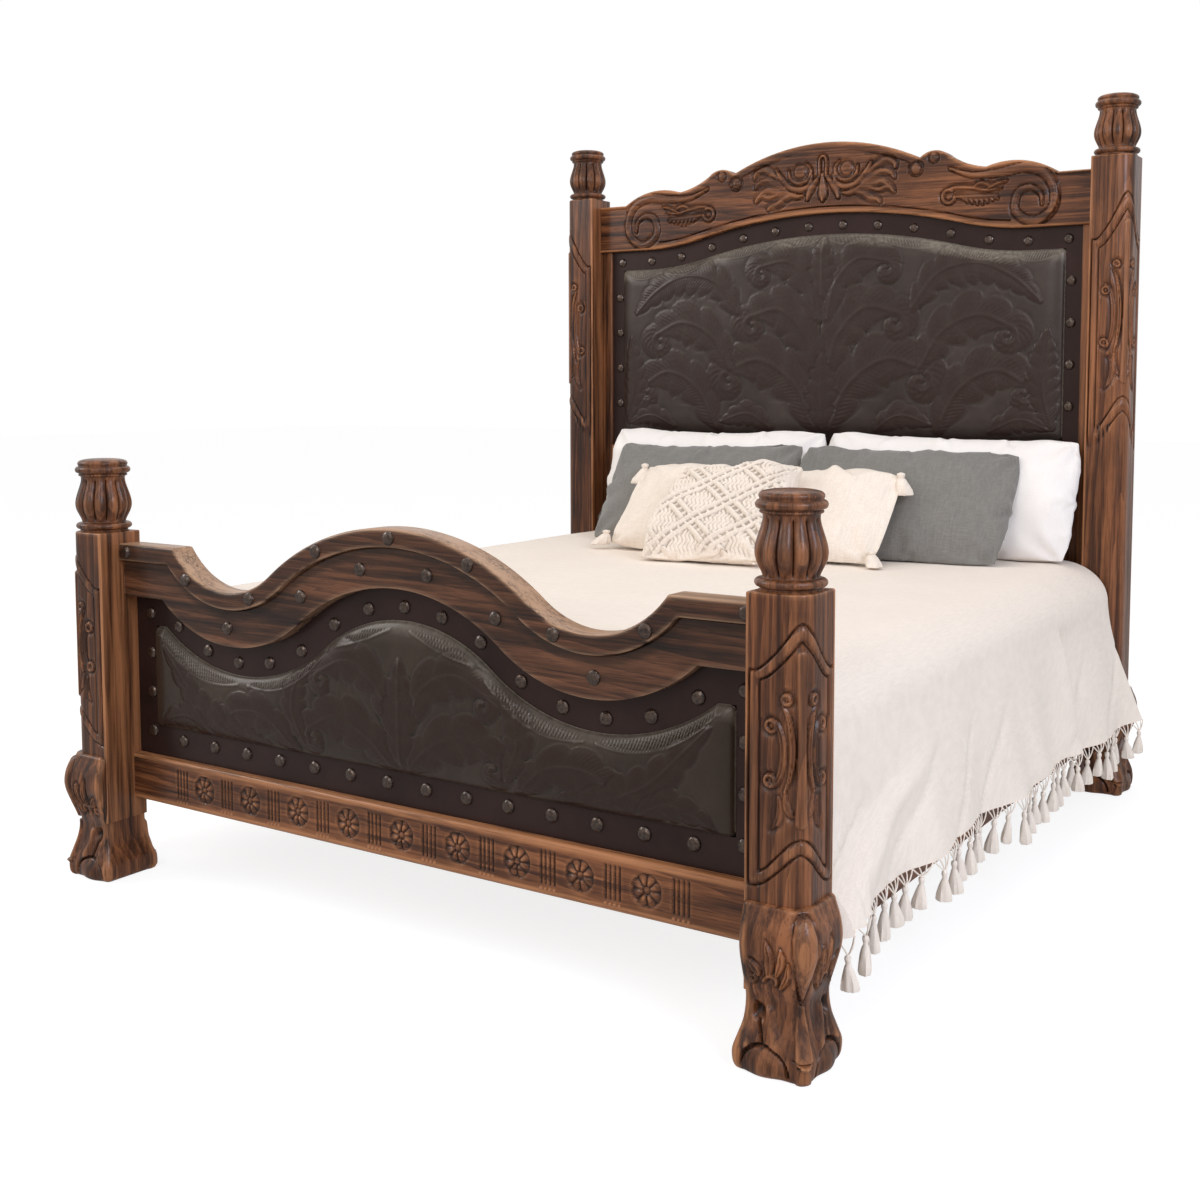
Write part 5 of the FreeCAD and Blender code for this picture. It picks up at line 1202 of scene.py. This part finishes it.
def makeDome():
    bpy.ops.object.select_all(action="DESELECT")
    bpy.ops.mesh.primitive_uv_sphere_add(segments=clavo["segments"], ring_count=clavo["rings"],
                                         radius=clavo["radius"])
    dome = bpy.context.object
    dome.name = "clavoDome"
    bpy.ops.object.mode_set(mode="EDIT")
    bpy.ops.mesh.select_all(action="SELECT")
    bpy.ops.mesh.bisect(plane_co=(0, 0, 0), plane_no=(0, 0, 1), clear_inner=True, use_fill=True)
    bpy.ops.object.mode_set(mode="OBJECT")
    spots = vertexArray(dome.data)
    away = np.hypot(spots[:, 0], spots[:, 1]) / clavo["radius"]
    flat = clavo["rise"] / clavo["radius"] * (1 - clavo["crown"] * (1 - away) ** 2)
    dents = np.array([noise.noise(Vector(spot) * clavo["dentScale"]) for spot in spots])
    dents = clavo["dent"] * dents * (1 - away ** 4)
    height = np.where(spots[:, 2] > 1e-4, spots[:, 2] * flat + dents, spots[:, 2])
    setSpots(dome, np.stack([spots[:, 0], -height, spots[:, 1]], -1))  # domes face the foot of the bed
    return dome


def joined(name, copies):
    bpy.ops.object.select_all(action="DESELECT")
    for copy in copies:
        copy.select_set(True)
    bpy.context.view_layer.objects.active = copies[0]
    bpy.ops.object.join()
    whole = bpy.context.object
    whole.name = whole.data.name = name
    return whole


def copyOf(model, spots):
    copy = model.copy()
    copy.data = model.data.copy()
    setSpots(copy, spots)
    scene.collection.objects.link(copy)
    return copy


def makeClavos(dome, rows):
    places = list(zip(rows["row"], waveHeight(rows["wave"], rows["drop"], rows["row"])))
    if "foot" in rows:
        places += [(side * rows["sideX"], z) for side in (-1, 1) for z in rows["sideZ"]]
        places += [(x, rows["footZ"]) for x in rows["foot"]]
    wide, deep, tall = vertexArray(dome.data).T
    front = span(rows["on"])[1][0]
    copies = []
    for i, (x, z) in enumerate(places):
        c, s = math.cos(i * clavo["turnStep"]), math.sin(i * clavo["turnStep"])
        spots = np.stack([wide * c - tall * s + x, deep + front, wide * s + tall * c + z], -1)
        copies.append(copyOf(dome, spots))
    whole = joined(rows["kind"] + "Clavos", copies)
    finishPiece(whole, "frame", [rows["kind"] + "_clavos"], "hammered_bronze", "bronze", angle=24)


dome = makeDome()
for rows in clavoRows:
    makeClavos(dome, rows)
bpy.data.objects.remove(dome)
print("clavos ready")


# Bedding: foundation, mattress, bedspread with its fringe, pillows
block = dict(bevelSteps=6, tuftX=.32, tuftY=.34, sidePitch=.3)


def paddedBlock(node, name, edge, cuts, swell):
    (left, right), (near, far), (low, high) = span(node)
    bpy.ops.object.select_all(action="DESELECT")
    bpy.ops.mesh.primitive_cube_add(size=1)
    piece = bpy.context.object
    piece.name = piece.data.name = name
    size = np.array([right - left, far - near, high - low])
    centre = np.array([left + right, near + far, low + high]) / 2
    setSpots(piece, vertexArray(piece.data) * size + centre)
    onlySelect(piece)
    bevel = piece.modifiers.new("softEdge", "BEVEL")
    bevel.width, bevel.segments = edge, block["bevelSteps"]
    bpy.ops.object.modifier_apply(modifier="softEdge")
    bpy.ops.object.mode_set(mode="EDIT")
    bpy.ops.mesh.select_all(action="SELECT")
    bpy.ops.mesh.subdivide(number_cuts=3)
    bpy.ops.mesh.subdivide(number_cuts=cuts)
    bpy.ops.object.mode_set(mode="OBJECT")
    spots = vertexArray(piece.data)
    x, y, _ = spots.T
    off = spots - centre
    face = eased(np.abs(off[:, 2]), size[2] * .42, size[2] * .5)
    tuft = np.abs(np.sin(math.pi * x / block["tuftX"]) * np.sin(math.pi * y / block["tuftY"])) ** .5
    drawn = swell * .5 * (1 - face) * (1 - np.abs(np.sin(math.pi * (x + y) / block["sidePitch"])) ** .5)
    spots[:, 2] -= np.sign(off[:, 2]) * face * swell * (1 - tuft)
    for k in (0, 1):
        spots[:, k] -= np.sign(off[:, k]) * drawn * (np.abs(off[:, k]) > size[k] * .46)
    setSpots(piece, spots)
    return finishPiece(piece, "bedding", [node], "ticking", "ticking", angle=50)


paddedBlock("foundation", "foundationBox", .022, 2, .002)
paddedBlock("mattress", "mattressBody", .075, 3, .012)

spread = dict(topZ=.7252, halfTop=.862, run=.150, drop=.120, hemZ=.252, hemX=1.050, flare=.062, thick=.0024,
              step=.0115, tuck=.18, slitY=.512, slitStep=.036, railX=1.0205, railZ=.36)
spreadArc = quarter * math.sqrt((spread["run"] ** 2 + spread["drop"] ** 2) / 2)
spreadFall = spread["topZ"] - spread["drop"] - spread["hemZ"]


def humped(value, width):
    return np.exp(-(value / width) ** 2)


def spreadSection(share, walked):
    # Place across and height at a distance walked from the bed's middle, at a share of its length
    side = np.abs(walked)
    turn = np.clip((side - spread["halfTop"]) / spreadArc, 0, 1) * quarter
    fall = np.clip(side - spread["halfTop"] - spreadArc, 0, None)
    x = np.minimum(side, spread["halfTop"]) + spread["run"] * np.sin(turn)
    z = spread["topZ"] - spread["drop"] * (1 - np.cos(turn)) - fall
    lean = spread["hemX"] + spread["flare"] * share ** 2 - (spread["halfTop"] + spread["run"])
    fall = fall / spreadFall
    bend = eased(side, spread["halfTop"] - .1, spread["halfTop"] + spreadArc)
    return np.sign(walked) * (x + lean * fall ** 1.3), z, np.clip(fall, 0, 1), bend


def makeSpread():
    near, far = span("bedspread")[1]
    half = spread["halfTop"] + spreadArc + spreadFall
    walked = np.linspace(-half, half, int(2 * half / spread["step"]))
    y = np.linspace(near, far, int((far - near) / spread["step"]))
    y = np.sort(np.concatenate([y, spread["slitY"] + np.array([-.0060, -.0015, .0015, .0060])]))
    walk, long = np.meshgrid(walked, y)
    x, z, fall, bend = spreadSection((long - near) / (far - near), walk)
    side, fromFoot, after = np.sign(walk), long - near, long - spread["slitY"]
    # hanging folds, broad and fine
    folds = (.013 * np.sin(long * 11.5 + 1.4 * latticeNoise(long, walk, .5, 3) + .8 * side)
             + .007 * np.sin(long * 24 + 2 + 2 * latticeNoise(walk, long, .3, 4)))
    out = folds * fall ** 1.6 + .010 * latticeNoise(long * .6 + walk, walk - long * .5, .22, 5) * fall
    out += .0035 * latticeNoise(long, walk, .12, 6) * eased(fall, .02, .5)
    # gathered beside the foot post, and lapped over itself near the head
    corner = humped(fromFoot, .11)
    gather = corner * eased(fall, .15, .75)
    out += gather * (.012 * np.sin(fromFoot * 150 + 3 * fall) - .012)
    out += corner * humped(fall - .66, .16) * .009 * np.sin((fall - .5) * 16 + fromFoot * 14)
    slit = np.clip(.5 + after / .003, 0, 1) * eased(fall, .0, .16) * (side > 0)
    out -= spread["slitStep"] * slit * np.exp(-np.clip(after, 0, None) / .11)
    out += .010 * humped(after, .05) * (after < .0014) * eased(fall, .04, .3) * (side > 0)
    # slanting creases that fade out above the hem, and a swag from the foot
    crease = np.abs(np.sin((long + .55 * fall) * 8.5 + 2.2 * latticeNoise(long, walk, .45, 9)))
    out -= .010 * humped(crease, .16) * eased(fall, .25, .6) * (1 - .5 * eased(fall, .85, 1))
    swag = fromFoot - .10 - .85 * (1 - fall) ** 1.6
    out += .024 * humped(swag, .09) * eased(fall, .25, .62)
    out -= .017 * humped(swag + .15, .07) * eased(fall, .30, .7)
    # kept outside the side rails, uneven at the hem and softly rumpled on top
    overRail = spread["railX"] - .25 * np.clip(z - spread["railZ"], 0, None)
    beside = np.where((z < spread["railZ"] + .10) & (np.abs(walk) > spread["halfTop"]), overRail, 0)
    x = side * np.maximum(np.abs(x + side * out), beside)
    z = z - .004 * fall * np.sin(long * 9 + side) - .006 * slit - .034 * gather
    rumple = .0022 * latticeNoise(walk, long, .35, 7) + .0012 * latticeNoise(walk * 2, long, .14, 8) - .0012
    points = np.stack([x, long, z + (1 - bend) * rumple], -1)
    # tucked in at the foot
    edge = points[0][np.abs(walked) <= spread["halfTop"]]
    tuck = np.linspace(0, spread["tuck"], 17)[:, None]
    bow = .005 * np.sin(tuck / spread["tuck"] * 2.6)
    flap = np.stack([edge[:, 0] + 0 * tuck, edge[:, 1] + bow, edge[:, 2] - tuck], -1)
    piece = joined("bedspreadCloth", [shapedGrid("bedspreadCloth", points), shapedGrid("tuck", flap)])
    weld(piece, 1e-5)
    wall = piece.modifiers.new("clothThickness", "SOLIDIFY")
    wall.thickness, wall.offset = spread["thick"], -1
    bpy.ops.object.modifier_apply(modifier="clothThickness")

    def lapShade(spots, normals):  # painted shade: a dark line along the lap's edge, where its own shadow lies
        line = humped(spots[:, 1] - spread["slitY"] - .002, .0065) * (spots[:, 0] > 0)
        return -.55 * line * eased(-spots[:, 2], -.60, -.53)

    finishPiece(piece, "bedding", ["bedspread"], "ivory_cotton", "spread", angle=60, full=1, rounds=1,
                lift=lapShade)
    return piece, {1: points[:, -1], -1: points[:, 0]}, (2 * half, far - near + spread["tuck"])


def tasselSpots(top, length, radius, seed, sway=(0, 0)):
    # Knot, neck and skirt of one tassel, hanging from top
    shares = np.array([0, .05, .12, .18, .24, .32, .5, .75, .95, 1.0, .97])
    widths = np.array([.10, .42, .46, .40, .30, .50, .72, .92, 1.0, .9, .2]) * radius
    angle = np.linspace(0, 2 * math.pi, 19)
    shift = np.random.default_rng(seed).uniform(0, 6, 3)
    ridge = 1 + .14 * np.sin(7 * angle + shift[0])[None] * eased(shares, .3, .6)[:, None]
    oval = 1 + .18 * np.cos(2 * angle + shift[1])[None] * eased(shares, .3, .8)[:, None]
    reach = widths[:, None] * ridge * oval
    drift = eased(shares, .1, 1)[:, None]
    return np.stack([top[0] + reach * np.cos(angle) + sway[0] * drift,
                     top[1] + reach * np.sin(angle) + sway[1] * drift,
                     top[2] - length * shares[:, None] + 0 * reach], -1)


def cordSpots(start, end, radius, bow=(0, 0, 0), steps=5, sides=5):
    start, end = np.array(start), np.array(end)
    share = np.linspace(0, 1, steps)[:, None]
    line = start + (end - start) * share + np.array(bow) * 4 * share * (1 - share)
    way = (end - start) / np.linalg.norm(end - start)
    first = np.cross(way, (1, 0, 0) if abs(way[0]) < .7 else (0, 1, 0))
    first /= np.linalg.norm(first)
    second = np.cross(way, first)
    angle = np.linspace(0, 2 * math.pi, sides + 1)
    ring = np.cos(angle)[:, None] * first + np.sin(angle)[:, None] * second
    return line[:, None] + radius * ring[None]


fringe = dict(count=31, pitch=.0667, reaches=(-.5, -.18, .18, .5), header=.030, length=.074, radius=.0150,
              cord=.0018, lift=.001)


def makeFringe(hemLine):
    pieces = []
    for side, line in hemLine.items():
        lengths = line[:, 1]
        middle = (lengths[0] + lengths[-1]) / 2

        def hemAt(y):
            x, z = (np.interp(y, lengths, line[:, k]) for k in (0, 2))
            return np.array([x + side * fringe["lift"], y, z])

        for i in range(fringe["count"]):
            seed = 100 + i + (50 if side > 0 else 0)
            jitter = np.random.default_rng(seed).uniform(-1, 1, 5)
            y = middle + (i - (fringe["count"] - 1) / 2) * fringe["pitch"] + .006 * jitter[0]
            header = fringe["header"] * (1 + .2 * jitter[2])
            knot = hemAt(y) + np.array([side * .002 + .004 * jitter[1], 0, -header])
            for reach in fringe["reaches"]:
                start = hemAt(np.clip(y + reach * fringe["pitch"], lengths[0], lengths[-1]))
                start = start + np.array([0, 0, .002])
                cord = cordSpots(start, knot, fringe["cord"], (side * .003, 0, -.002))
                pieces.append(shapedGrid("fringeCord", cord, caps=True))
            tassel = tasselSpots(knot + np.array([0, 0, .003]), fringe["length"] * (1 + .1 * jitter[3]),
                                 fringe["radius"], seed, (.006 * jitter[4], .008 * jitter[1]))
            pieces.append(shapedGrid("tassel", tassel, caps=True))
    whole = joined("bedspreadFringe", pieces)
    return finishPiece(whole, "bedding", ["bedspread_tassels"], "ivory_cotton", "spread", angle=60)


cloth, hemLine, flatSize = makeSpread()
fringePiece = makeFringe(hemLine)
print("bedspread ready")


# Pillows: two welded layers of cloth blown up by cloth simulation, then leant and set down
pillowKinds = dict(
    white=dict(size=(.866, .405, .160), tall=.388, sag=.026, cells=(54, 26), pressure=4.0, bending=.6,
               slot="white_cotton", finish="whiteCotton"),
    grey=dict(size=(.735, .424, .128), tall=.345, sag=.022, cells=(46, 24), pressure=3.5, bending=.5,
              slot="grey_linen", finish="greyLinen"),
    lumbar=dict(size=(.970, .385, .116), tall=.292, sag=.008, cells=(54, 24), pressure=3.0, bending=.8,
                slot="cream_wool", finish="creamWool"),
    woven=dict(size=(.425, .420, .118), tall=.312, sag=.006, cells=(48, 46), pressure=2.4, bending=1.0,
               slot="cream_wool", finish="creamWool"))
pillowPattern = dict(bulgeX=.035, bulgeZ=.08, spareX=1.06, spareZ=1.08, roundX=.030, roundZ=.07, flatZ=.026,
                     seatZ=.7256)


def flatPillow(name, size, cells):
    columns, rows = cells
    width, height, thick = size
    u = np.linspace(-1, 1, columns + 1)
    loop = np.concatenate([u, u[::-1][1:]])
    layer = np.concatenate([np.ones(columns + 1), -np.ones(columns)])
    v = np.linspace(-1, 1, rows + 1)
    x = width / 2 * loop[None] * (1 + pillowPattern["bulgeX"] * (1 - v ** 2))[:, None]
    z = height / 2 * v[:, None] * (1 + pillowPattern["bulgeZ"] * (1 - loop ** 2))[None]
    puff = np.clip((1 - loop ** 2)[None] * (1 - v ** 2)[:, None], 0, 1) ** .5
    y = -layer[None] * puff * thick * .06
    return shapedGrid(name, np.stack([x, y, z], -1), merge=1e-6)


def blowUp(piece, kind, frames=22):
    onlySelect(piece)
    cloth = piece.modifiers.new("stuffing", "CLOTH")
    settings = cloth.settings
    settings.quality = 6
    settings.mass = .15
    settings.tension_stiffness = settings.compression_stiffness = 18
    settings.shear_stiffness = 6
    settings.bending_stiffness = kind["bending"]
    settings.use_pressure = True
    settings.uniform_pressure_force = kind["pressure"]
    settings.effector_weights.gravity = 0
    cloth.collision_settings.use_collision = False
    cloth.point_cache.frame_start, cloth.point_cache.frame_end = 1, frames
    for step in range(1, frames + 1):
        scene.frame_set(step)
    bpy.ops.object.modifier_apply(modifier="stuffing")
    scene.frame_set(1)


def seamLine(key, value, edge):
    order = np.argsort(key[edge])
    return key[edge][order], value[edge][order]


def squared(spots, flat, width, height):
    # Straightens a blown pillow's seams and rounds its corners; flat is where each point lay in its pattern
    bulgeX, bulgeZ = pillowPattern["bulgeX"], pillowPattern["bulgeZ"]
    mostX, mostZ = np.abs(flat[:, 0]).max(), np.abs(flat[:, 2]).max()
    u, v = flat[:, 0] / mostX, flat[:, 2] / mostZ
    for _ in range(12):
        u = flat[:, 0] / (mostX / (1 + bulgeX) * (1 + bulgeX * (1 - v * v)))
        v = flat[:, 2] / (mostZ / (1 + bulgeZ) * (1 + bulgeZ * (1 - u * u)))
    x, z = spots[:, 0], spots[:, 2]
    left, right = (np.interp(v, *seamLine(v, x, way * u > .9999)) for way in (-1, 1))
    low, high = (np.interp(u, *seamLine(u, z, way * v > .9999)) for way in (-1, 1))
    across, up = (np.clip(2 * (value - start) / (end - start) - 1, -1, 1)
                  for value, start, end in ((x, left, right), (z, low, high)))
    spots[:, 0] = width / 2 * across * (1 - pillowPattern["roundX"] * eased(np.abs(v), .62, 1))
    spots[:, 2] = height / 2 * up * (1 - pillowPattern["roundZ"] * eased(np.abs(u), .74, 1))


def pillowBody(name, kind):
    width, height, thick = kind["size"]
    cut = (width * pillowPattern["spareX"], height * pillowPattern["spareZ"], thick)
    piece = flatPillow(name, cut, kind["cells"])
    flat = vertexArray(piece.data)
    blowUp(piece, kind)
    spots = vertexArray(piece.data)
    squared(spots, flat, width, height)
    spots[:, 1] *= thick / (spots[:, 1].max() - spots[:, 1].min())
    setSpots(piece, spots)
    onlySelect(piece)
    smooth = piece.modifiers.new("finer", "SUBSURF")
    smooth.levels = smooth.render_levels = 2 if "woven" in name else 1
    bpy.ops.object.modifier_apply(modifier="finer")
    return piece


def turned(first, second, degrees):
    c, s = math.cos(math.radians(degrees)), math.sin(math.radians(degrees))
    return first * c - second * s, first * s + second * c


def setDown(piece, kind, place, lean, seed, roll=0, yaw=0):
    # Leans a pillow back, turns it, lets its lower edge flatten on the bedspread
    x, y, z = vertexArray(piece.data).T
    half = np.abs(x).max()
    height = z.max() - z.min()
    z = z - kind["sag"] * eased(z / height, -.1, .5) * (1 - (x / half) ** 2)
    y = y + .010 * latticeNoise(x, z, .16, seed) + .004 * latticeNoise(x, z, .05, seed + 1)
    # creases that fan out from the corners
    fromSide, fromEnd = half - np.abs(x), .5 * height - np.abs(z)
    reach, ray = np.hypot(fromSide, fromEnd), np.arctan2(fromEnd, fromSide)
    y = y + np.sign(y) * .006 * np.sin(ray * 9 + seed) * eased(reach, .02, .06) * eased(-reach, -.20, -.07)
    z = z + .006 * latticeNoise(x, y, .12, seed + 2)
    x, z = turned(x, z, roll)
    y, z = turned(y, z, -lean)
    x, y = turned(x, y, yaw)
    low = pillowPattern["flatZ"]
    z = z - z.min()
    z = np.where(z < low, low - (low - z) * .4, z)
    z = (z - z.min()) * kind["tall"] / (z.max() - z.min()) + pillowPattern["seatZ"]
    setSpots(piece, np.stack([x + place[0], y + place[1], z], -1))


braid = dict(pitch=.132, shift=.27, apart=.0150, half=.0085, rise=.0125, twist=.0014, twistPitch=520,
             rungPitch=.026, rungHalf=.0050, rungRise=.0060, tuft=.0058)


def wovenFace(piece):
    # Pairs of raised braids that cross into diamonds, rungs between a pair and looped tufts between the pairs
    spots = vertexArray(piece.data)
    x, y, z = spots.T
    halfX, halfZ = (side / 2 for side in pillowKinds["woven"]["size"][:2])
    one, two = .66 * x + .75 * z, .66 * x - .75 * z
    tufts = np.abs(np.sin(x * 215 + 4.5 * np.abs((z / .036) % 1 - .5))) ** 1.5
    relief = braid["tuft"] * tufts * (.55 + .45 * np.abs(np.sin(z * 175)))
    for way, along in ((one, two), (two, one)):
        off = np.abs((way / braid["pitch"] + braid["shift"]) % 1 - .5) * braid["pitch"]
        step = np.abs((along / braid["rungPitch"]) % 1 - .5) * braid["rungPitch"]
        rung = braid["rungRise"] * roundTop(step / braid["rungHalf"])
        relief = np.where(off < braid["apart"], rung, relief)
        pair = np.minimum(np.abs(off - braid["apart"]) / braid["half"], 1)
        cord = roundTop(pair) * (braid["rise"] + braid["twist"] * np.sin(along * braid["twistPitch"]))
        relief = np.where(pair < 1, np.maximum(relief * .3, cord), relief)
    edge = eased(np.minimum(halfX - np.abs(x), halfZ - np.abs(z)), .004, .022)
    y = y - relief * edge * (y < 0)
    # shaggy corners
    tip = eased(np.abs(x) / halfX + np.abs(z) / halfZ, 1.74, 1.90)
    shag = tip * (.010 + .005 * latticeNoise(x, z + y, .006, 77))
    setSpots(piece, np.stack([x + np.sign(x) * shag, y, z + np.sign(z) * shag], -1))


pillowPlaces = {
    "white_pillow_left": dict(place=(-.372, .980), lean=19, seed=21, roll=.4),
    "white_pillow_right": dict(place=(.487, .980), lean=19, seed=31, roll=-1),
    "grey_pillow_left": dict(place=(-.342, .824), lean=35, seed=41, roll=.8),
    "grey_pillow_right": dict(place=(.398, .826), lean=36, seed=51, roll=-1, yaw=3),
    "lumbar_pillow": dict(place=(-.034, .649), lean=41, seed=61),
    "woven_pillow": dict(place=(-.044, .473), lean=49, seed=71, roll=2.5)}


def makePillows():
    made = {}
    for node, setting in pillowPlaces.items():
        kindName = node.split("_")[0]
        kind, isWoven = pillowKinds[kindName], kindName == "woven"
        if kindName not in made:
            made[kindName] = pillowBody(kindName + "Pattern", kind)
        body = made[kindName]
        piece = copyOf(body, vertexArray(body.data))
        piece.name = piece.data.name = node[0] + pieceName(node)[1:]
        if isWoven:
            wovenFace(piece)
        setDown(piece, kind, **setting)
        # the woven face's recesses get a depth, which its finish paints darker as shade
        finishPiece(piece, "pillows", [node], kind["slot"], kind["finish"], angle=70,
                    full=.0045 if isWoven else 0, rounds=12)
    for body in made.values():
        bpy.data.objects.remove(body)

makePillows()
print("pillows ready")


lumbarTassel = dict(radius=.029, out=.012, forward=.014, upper=dict(length=.070, lift=.014),
                    lower=dict(length=.048, lift=.042), sway=(.014, -.012))


def makeLumbarTassels():
    spots = vertexArray(bpy.data.objects["lumbarPillow"].data)
    middle = (spots.min(0) + spots.max(0)) / 2
    pieces = []
    for i, (across, up) in enumerate(((-1, 1), (1, 1), (-1, -1), (1, -1))):
        score = across * (spots[:, 0] - middle[0]) + up * 1.2 * (spots[:, 2] - middle[2])
        hang = lumbarTassel["upper" if up > 0 else "lower"]
        offset = np.array([across * lumbarTassel["out"], -lumbarTassel["forward"], hang["lift"]])
        top = spots[score.argmax()] + offset
        sway = (across * lumbarTassel["sway"][0], lumbarTassel["sway"][1])
        tassel = tasselSpots(top, hang["length"], lumbarTassel["radius"], 300 + i, sway)
        pieces.append(shapedGrid("tassel", tassel, caps=True))
    whole = joined("lumbarTassels", pieces)
    finishPiece(whole, "pillows", ["lumbar_tassels"], "cream_wool", "creamWool", angle=60)


makeLumbarTassels()
print("lumbar tassels ready")
